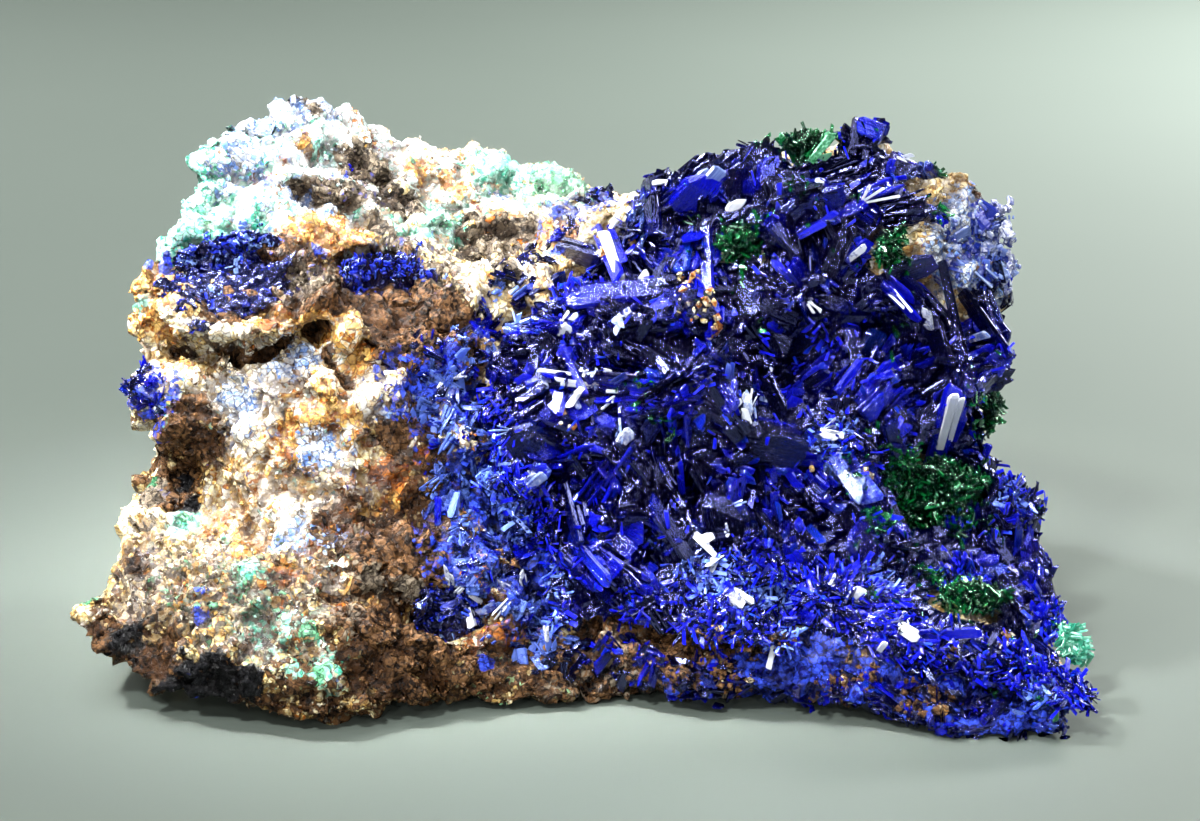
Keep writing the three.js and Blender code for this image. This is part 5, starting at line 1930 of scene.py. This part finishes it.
@dataclass
class SilverAndGlints:
    """The clear, silvery blades of the knob beside the crust, and painted glints on the crust.

    The glints are white blades and flakes set where the crystals catch the light.
    """

    knob: tuple[Spot, ...] = (
        (984, 238, 3), (1000, 250, 2.4), (968, 262, 2.2), (962, 232, 1.8), (992, 240, 1.5), (986, 264, 2.4),
        (974, 222, 1.4),
    )
    # places of painted glints: white flakes where the crystals catch the light
    glint_spots: tuple[Spot, ...] = (
        (565, 331, 0.9), (545, 382, 0.7), (562, 388, 0.7), (590, 390, 0.7), (603, 372, 0.8), (748, 408, 0.9),
        (736, 394, 0.6), (754, 420, 0.7), (628, 438, 0.8), (682, 490, 0.6), (533, 478, 0.8), (642, 512, 0.6),
        (752, 510, 0.6), (707, 546, 0.7), (716, 562, 0.8), (724, 592, 0.7), (738, 602, 0.6), (463, 604, 1),
        (450, 386, 0.7), (822, 428, 0.8), (612, 236, 0.7), (663, 246, 0.6), (786, 176, 0.6), (720, 172, 0.7),
        (690, 150, 0.7), (836, 156, 0.6), (905, 160, 0.9), (872, 246, 0.6), (806, 300, 0.6), (930, 330, 0.6),
        (888, 400, 0.6), (560, 300, 0.6), (520, 360, 0.6), (486, 420, 0.7), (470, 520, 0.7), (505, 590, 0.7),
        (545, 640, 0.7), (600, 640, 0.6), (660, 610, 0.6), (800, 560, 0.6), (848, 600, 0.7), (905, 640, 0.6),
        (960, 660, 0.6), (1010, 690, 0.6), (1050, 650, 0.6), (700, 640, 0.6), (770, 655, 0.6), (640, 300, 0.5),
    )
    sheaf: Sheaf = Sheaf(
        4, (1.2, 3.0), (0.25, 0.6), (0.25, 0.5), (-22, 0),
        opening=0.05, spread=0.08, sink=0.6, reach=0.1, shade=0.4, led=0.0, flat=1.0,
    )
    glint_sheaf: Sheaf = Sheaf(
        3, (0.7, 2.4), (0.1, 0.5), (0.08, 0.18), (0, 45),
        opening=0.08, spread=0.2, sink=0.1, reach=9.0, shade=0.6, led=0.0, flat=0.4,
    )
    sheaves: int = 130
    glint_count: int = 110
    lowest_glint: float = 5.0
    # painted highlights: white blades where the crystals catch the light
    glints: tuple[Blade, ...] = tuple(
        Blade(root, tip, width, turn, (-0.3, lift), thickness, dust=dust, mates=mates)
        for root, tip, width, turn, lift, thickness, dust, mates in (
            ((620, 277), (603, 231), 1.1, 15, 1.4, 0.3, 0.9, 1), ((641, 280), (648, 272), 0.8, 10, 1, 0.3, 1, 0),
            ((561, 336), (569, 325), 1.1, 10, 1, 0.3, 1, 0), ((572, 374), (538, 370), 0.35, 20, 1, 0.2, 1, 1),
            ((598, 386), (555, 379), 0.4, 20, 1.2, 0.2, 1, 1), ((621, 392), (606, 391), 0.35, 20, 1, 0.2, 0.9, 0),
            ((940, 448), (955, 394), 0.9, 15, 1.6, 0.4, 1, 2), ((950, 440), (962, 398), 0.6, 15, 1.8, 0.3, 0.9, 0),
            ((815, 193), (821, 178), 0.9, 15, 0.8, 0.3, 0.7, 1), ((730, 213), (740, 199), 1.2, 15, 0.8, 0.3, 0.9, 1),
            ((700, 192), (722, 168), 1.6, 25, 0.8, 0.4, 0.2, 1), ((862, 202), (884, 188), 0.25, 10, 1.2, 0.15, 1, 0),
            ((862, 203), (900, 196), 0.25, 10, 1.2, 0.15, 1, 0),
            ((862, 201), (870, 185), 0.25, 10, 1.2, 0.15, 0.8, 0),
            ((848, 260), (866, 246), 0.7, 10, 1.2, 0.3, 0.8, 0), ((888, 293), (904, 308), 0.25, 10, 1.2, 0.15, 1, 0),
            ((894, 290), (912, 312), 0.25, 10, 1.2, 0.15, 1, 0), ((968, 340), (988, 334), 0.8, 15, 0.8, 0.3, 0.5, 0),
            ((738, 404), (746, 394), 0.5, 20, 1, 0.2, 1, 2), ((750, 424), (744, 408), 0.6, 20, 1, 0.2, 1, 2),
            ((620, 444), (632, 430), 1.2, 15, 1, 0.3, 0.6, 1), ((692, 534), (716, 556), 0.5, 20, 1.2, 0.2, 1, 2),
            ((726, 584), (754, 602), 0.5, 20, 1.2, 0.2, 0.9, 2), ((898, 628), (918, 640), 0.9, 15, 1.2, 0.3, 1, 1),
            ((878, 652), (886, 642), 0.6, 15, 1.2, 0.3, 1, 0), ((994, 658), (1007, 641), 0.4, 15, 1.2, 0.2, 1, 0),
            ((454, 602), (468, 620), 0.7, 20, 1, 0.3, 1, 2), ((470, 604), (478, 612), 0.5, 20, 1, 0.3, 0.9, 1),
            ((526, 490), (545, 474), 1, 20, 1, 0.3, 0.5, 1), ((842, 472), (862, 498), 1.4, 15, 1.4, 0.4, 0.5, 1),
        )
    )
    # the finish of the silvery knob, and of the painted glints
    finish: BladeFinish = BladeFinish(
        deep=shade_of(30, 48, 150),
        bright=shade_of(160, 188, 252),
        other=shade_of(222, 234, 255),
        powder=shade_of(240, 245, 255),
        clear=0.4,
        ior=1.6,
        gleam=(1.0, 1.0, 1.0, 1.0),
    )

    def build(self, skin: Surface, crust: Surface) -> None:
        """Grows the blades.

        Args:
            skin: The block's surface.
            crust: The crust's surface.
        """
        material = self.finish.build("silver_and_glint_blades")
        crystals = Crystals(Draw.KNOB.numbers())
        weights = smoothstep(spots_at(skin.middles, self.knob, skin), -0.05, 0.4)
        places, facings, _ = skin.scatter(self.sheaves, crystals.rng, weights)
        dusts = crystals.rng.uniform(0.0, 0.7, self.sheaves)
        self.sheaf.grow(crystals, skin, places, facings, np.ones(self.sheaves), dusts)
        placed(crystals.mesh("silver_knob"), (material,))
        # painted glints: white blades and flakes set on the crust where it catches the light
        crystals = Crystals(Draw.GLINTS.numbers())
        for glint in self.glints:
            glint.grow(crystals, crust)
        weights = smoothstep(spots_at(crust.middles, self.glint_spots, crust), 0.0, 0.3)
        weights *= crust.middles[:, 2] > self.lowest_glint
        places, facings, _ = crust.scatter(self.glint_count, crystals.rng, weights)
        places, facings = outermost(crust, places, facings)
        dusts = crystals.rng.uniform(0.2, 1.0, len(places))
        self.glint_sheaf.grow(crystals, crust, places, facings, np.ones(len(places)), dusts)
        placed(crystals.mesh("painted_glints"), (material,))


LEDGE_BLUE: tuple[Spot, ...] = (
    (184, 248, 1.7), (205, 246, 2), (225, 240, 2.1), (248, 238, 2), (270, 236, 1.7), (205, 260, 1.4), (235, 256, 1.3),
    (252, 252, 1.2), (180, 294, 1.7), (198, 296, 1.7), (188, 306, 1.4), (178, 276, 0.9),
)
SADDLE_BLUE: tuple[Spot, ...] = (
    (345, 270, 1.8), (355, 262, 2), (370, 258, 2.1), (388, 258, 2), (405, 258, 1.9), (422, 258, 1.8), (436, 264, 1.4),
)
FOOT_BLUE: tuple[Spot, ...] = (
    (412, 598, 2), (436, 602, 2.6), (462, 610, 2.4), (430, 618, 2.2), (455, 630, 2), (475, 625, 1.6),
)


@dataclass
class Patch:
    """A small patch of fine blue blades on the rock."""

    node: str
    sheaves: int
    shown: tuple[Spot, ...]
    which: int
    ground: Ground = Ground(0.3, 40, 0.9, 0.25)
    sheaf: Sheaf = Sheaf(
        3, (0.7, 2.1), (0.1, 0.34), (0.1, 0.2), (-6, 12),
        opening=0.06, spread=0.12, sink=0.3, reach=0.15, shade=0.5, led=0.0, flat=0.8,
    )

    def build(self, nodes: dict[str, Item], rock: Surface, finish: Material) -> None:
        """Makes the patch's ground and its blades.

        Args:
            nodes: The solids, by name.
            rock: The surface of the block.
            finish: The finish of blue blades.
        """
        mesh = self.ground.mesh(nodes[self.node], f"{self.node}_ground")
        points = points_of(mesh)
        outward = unit(np.mean([np.array(rock.tree.find_nearest(Vector(point))[1]) for point in points], 0))
        points = move_points(mesh, points - outward * (0.35 + 3.0 * (1 - self.share(points, rock)))[:, None])
        write_numbers(mesh, "dust", 0.3 * smoothstep(self.clouds(points), -0.1, 0.5))
        ground = placed(mesh, (finish,))
        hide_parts(self.node)
        surface = Surface([mesh])
        crystals = Crystals(Draw.PATCHES.numbers(self.which))
        weights = (surface.facings @ outward > -0.2) * self.share(surface.middles, rock) ** 2
        places, facings, _ = surface.scatter(self.sheaves, crystals.rng, weights)
        dusts = smoothstep(self.clouds(places), -0.2, 0.5) * crystals.rng.uniform(0.2, 1.0, self.sheaves)
        self.sheaf.grow(crystals, surface, places, facings, np.ones(self.sheaves), dusts)
        placed(crystals.mesh(f"{self.node}_blades"), (finish,))

    def clouds(self, points: Array) -> Array:
        """Where the patch is dusty, -1 to 1."""
        return noise_at(points, 2.0, Wave.PATCHES + self.which)

    def share(self, points: Array, rock: Surface) -> Array:
        """How much of the patch shows at each point, 0 to 1."""
        ragged = spots_at(points, self.shown, rock) + 0.3 * noise_at(points, 1.4, Wave.PATCHES + self.which + 5, 2)
        return smoothstep(ragged, -0.15, 0.25)


@dataclass
class Tufts:
    """The green tufts among the blue blades, and the green specks round them."""

    names: tuple[str, ...]
    ground: Ground = Ground(0.3, 10, 0.6, 0.35, 0.45)
    needles: Sheaf = Sheaf(
        1, (0.5, 1.5), (0.16, 0.4), (0.12, 0.24), (20, 90),
        opening=0.0, spread=0.2, sink=0.3, reach=0.9,
    )
    thick: float = 5.0  # needles on each square millimetre
    speck_count: int = 1300
    dark: BladeFinish = BladeFinish(
        deep=shade_of(0, 18, 10),
        bright=shade_of(16, 116, 54),
        other=shade_of(30, 150, 88),
        powder=shade_of(128, 214, 170),
        clear=0.35,
        ior=1.8,
        gleam=(0.6, 1.0, 0.75, 1.0),
    )
    pale: BladeFinish = BladeFinish(
        deep=shade_of(40, 140, 110),
        bright=shade_of(130, 226, 196),
        other=shade_of(150, 236, 220),
        powder=shade_of(214, 250, 240),
        clear=0.2,
        ior=1.8,
        gleam=(1.0, 1.0, 1.0, 1.0),
    )
    pale_names: tuple[str, ...] = ("green_tuft_corner",)
    fan: tuple[Pixel, ...] = (
        (780, 136), (786, 131), (793, 128), (800, 133), (806, 128), (813, 129), (820, 133), (827, 140), (830, 150),
    )
    specks: tuple[Spot, ...] = (
        (735, 232, 1.6), (722, 250, 1.4), (755, 225, 1.2), (742, 262, 1.2), (790, 190, 1), (812, 182, 0.9),
        (872, 137, 0.9), (890, 128, 0.8), (953, 160, 1), (930, 188, 0.8), (942, 212, 1), (892, 252, 1.4),
        (878, 262, 1), (900, 240, 1), (985, 405, 1.4), (980, 430, 1.6), (900, 470, 2.6), (930, 490, 3),
        (950, 520, 2.6), (880, 520, 1.6), (965, 470, 2), (940, 580, 1.4), (955, 600, 1.6), (975, 610, 1.2),
        (920, 575, 1.2), (870, 600, 0.9), (1010, 640, 1.2), (1030, 665, 1.2), (1000, 690, 1), (1075, 632, 1.6),
        (895, 325, 1), (905, 318, 0.8), (760, 330, 0.8), (800, 145, 1.6), (820, 138, 1.2), (660, 420, 0.7),
        (990, 350, 0.8), (1040, 700, 0.9), (850, 560, 0.8), (640, 385, 0.8), (700, 300, 0.9),
    )

    def build(self, nodes: dict[str, Item], crust: Surface) -> None:
        """Makes every tuft and the specks.

        Args:
            nodes: The solids, by name.
            crust: The surface of the blue crust.
        """
        dark, pale = self.dark.build("green_crystal"), self.pale.build("pale_green_crystal")
        for i, name in enumerate(self.names):
            material = pale if name in self.pale_names else dark
            mesh = self.ground.mesh(nodes[name], f"{name}_ground")
            write_numbers(mesh, "dust", np.zeros(len(mesh.vertices)))
            ground = placed(mesh, (material,))
            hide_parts(name)
            surface = Surface([mesh])
            crystals = Crystals(Draw.TUFTS.numbers(i))
            weights = np.ones(len(surface.areas))
            places, facings, _ = surface.scatter(int(surface.areas.sum() * self.thick), crystals.rng, weights)
            self.bristle(crystals, surface, places, facings)
            placed(crystals.mesh(f"{name}_needles", plain=True), (material,))
        crystals = Crystals(Draw.SPECKS.numbers())
        weights = smoothstep(spots_at(crust.middles, self.specks, crust), 0.1, 0.6) ** 2
        places, facings, _ = crust.scatter(self.speck_count, crystals.rng, weights)
        self.bristle(crystals, crust, *outermost(crust, places, facings))
        fan = Crystals(Draw.FAN.numbers())
        for i, tip in enumerate(self.fan):
            shade, dust = 0.8 + 0.1 * (i % 5), 0.3 + 0.3 * (i % 3)
            Blade((800 + 1.5 * i, 162), tip, 0.9, 20, (0.2, 1.6), 0.2, shade, dust).grow(fan, crust)
        placed(fan.mesh("green_fan"), (dark,))
        placed(crystals.mesh("green_specks", plain=True), (dark,))

    def bristle(self, crystals: Crystals, surface: Surface, places: Array, facings: Array) -> None:
        """Grows needles at some places of a surface."""
        dusts = crystals.rng.uniform(0.0, 0.7, len(places)) ** 2
        self.needles.grow(crystals, surface, places, facings, np.ones(len(places)), dusts)


@dataclass(frozen=True)
class Lamp:
    """A square softbox, with its place, its side and its aim in millimetres.

    Its power is in watts, and the spread of its beam in degrees.
    """

    name: str
    place: Place
    size: float
    power: float
    aim: Place = VIEW.target
    spread: float = 180.0

    def build(self) -> None:
        """Makes the lamp."""
        data = bpy.data.lights.new(self.name, "AREA")
        data.shape = "SQUARE"
        data.size = self.size * MM
        data.energy = self.power
        data.spread = math.radians(self.spread)
        lamp = bpy.data.objects.new(self.name, data)
        lamp.location = Vector(self.place) * MM
        lamp.rotation_euler = (Vector(self.aim) - Vector(self.place)).to_track_quat("-Z", "Y").to_euler()
        bpy.context.scene.collection.objects.link(lamp)


@dataclass
class Studio:
    """The floor, the lights and the air round the specimen."""

    lamps: tuple[Lamp, ...] = (
        Lamp("overhead", (-40, 60, 420), 180, 1.25),
        Lamp("front", (-140, -230, 340), 44, 2.1),
        Lamp("side", (330, -60, 260), 100, 0.5),
        Lamp("wash", (330, 330, 260), 120, 1.95, (130, 240, 0), 80),
        Lamp("wash_left", (-330, 330, 260), 120, 0.38, (-170, 260, 0), 80),
        Lamp("left", (-170, 40, 260), 50, 0.1, (-28, 12, 36), 18),
    )
    sparks: tuple[Place, ...] = (
        (-60, -330, 210), (130, -260, 330), (-250, -120, 300), (40, -140, 420), (220, -330, 150),
        (-180, -340, 110), (260, -60, 340), (-60, 90, 430), (20, -380, 70),
    )
    spark_size: float = 7.0
    spark_power: float = 0.22
    air: Colour = shade_of(214, 220, 216)
    air_strength: float = 0.045
    floor: tuple[Colour, Colour] = (shade_of(80, 89, 82), shade_of(85, 94, 87))
    floor_side: float = 4000.0
    floor_drop: float = 0.02

    def build(self) -> None:
        """Makes the floor, the lights and the world."""
        world = bpy.data.worlds.new("air")
        bpy.context.scene.world = world
        world.use_nodes = True
        background = world.node_tree.nodes["Background"]
        background.inputs[0].default_value = self.air
        background.inputs[1].default_value = self.air_strength
        sparks = (Lamp(f"spark_{i}", at, self.spark_size, self.spark_power) for i, at in enumerate(self.sparks))
        for lamp in (*self.lamps, *sparks):
            lamp.build()
        bpy.context.scene.view_settings.view_transform = "Standard"
        bpy.context.scene.view_settings.look = "None"

        corners = np.array([(-1, -1, 0), (1, -1, 0), (1, 1, 0), (-1, 1, 0)]) * self.floor_side / 2
        mesh = mesh_of("floor", corners, [np.array([[0, 1, 2, 3]])])
        nodes = Nodes("floor")
        mesh.materials.append(nodes.finish(nodes.mix(nodes.noise(90.0), *self.floor), 0.6))
        floor = bpy.data.objects.new("floor", mesh)
        floor.location.z = -self.floor_drop * MM
        bpy.context.scene.collection.objects.link(floor)


def main() -> None:
    """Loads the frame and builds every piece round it."""
    logging.basicConfig(level=logging.INFO, format="%(name)s %(message)s")
    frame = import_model()
    VIEW.camera()
    Studio().build()
    nodes = frame["nodes"]
    solid_rock = Surface([nodes["matrix"].data])
    rock = Rock()
    rock.build(nodes["matrix"], solid_rock)
    tufts = tuple(name for name in nodes if name.startswith("green_tuft"))
    boxes = [[(np.array(corner) / MM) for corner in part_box(name)] for name in tufts]
    keep_out = np.array([np.concatenate([(low + high) / 2, (high - low) / 2]) for low, high in boxes])
    blue = BladeFinish().build("blue_blades")
    druse = BladeFinish(clear=0.0).build("blue_druse")
    azure = AZURE_BLADES.build("azure_blades")
    crust = Crust()
    crust.build(nodes["linarite_crust"], solid_rock, rock, keep_out, blue, druse)
    rock.crust_bits(crust.grown)
    SilverAndGlints().build(rock.skin, crust.grown)
    for patch in (
        Patch("linarite_patch_ledge", 400, LEDGE_BLUE, 0),
        Patch("linarite_patch_saddle", 200, SADDLE_BLUE, 1),
        Patch("linarite_patch_foot", 200, FOOT_BLUE, 2),
    ):
        patch.build(nodes, solid_rock, azure)
    Tufts(tufts).build(nodes, crust.grown)


if __name__ == "__main__":
    main()
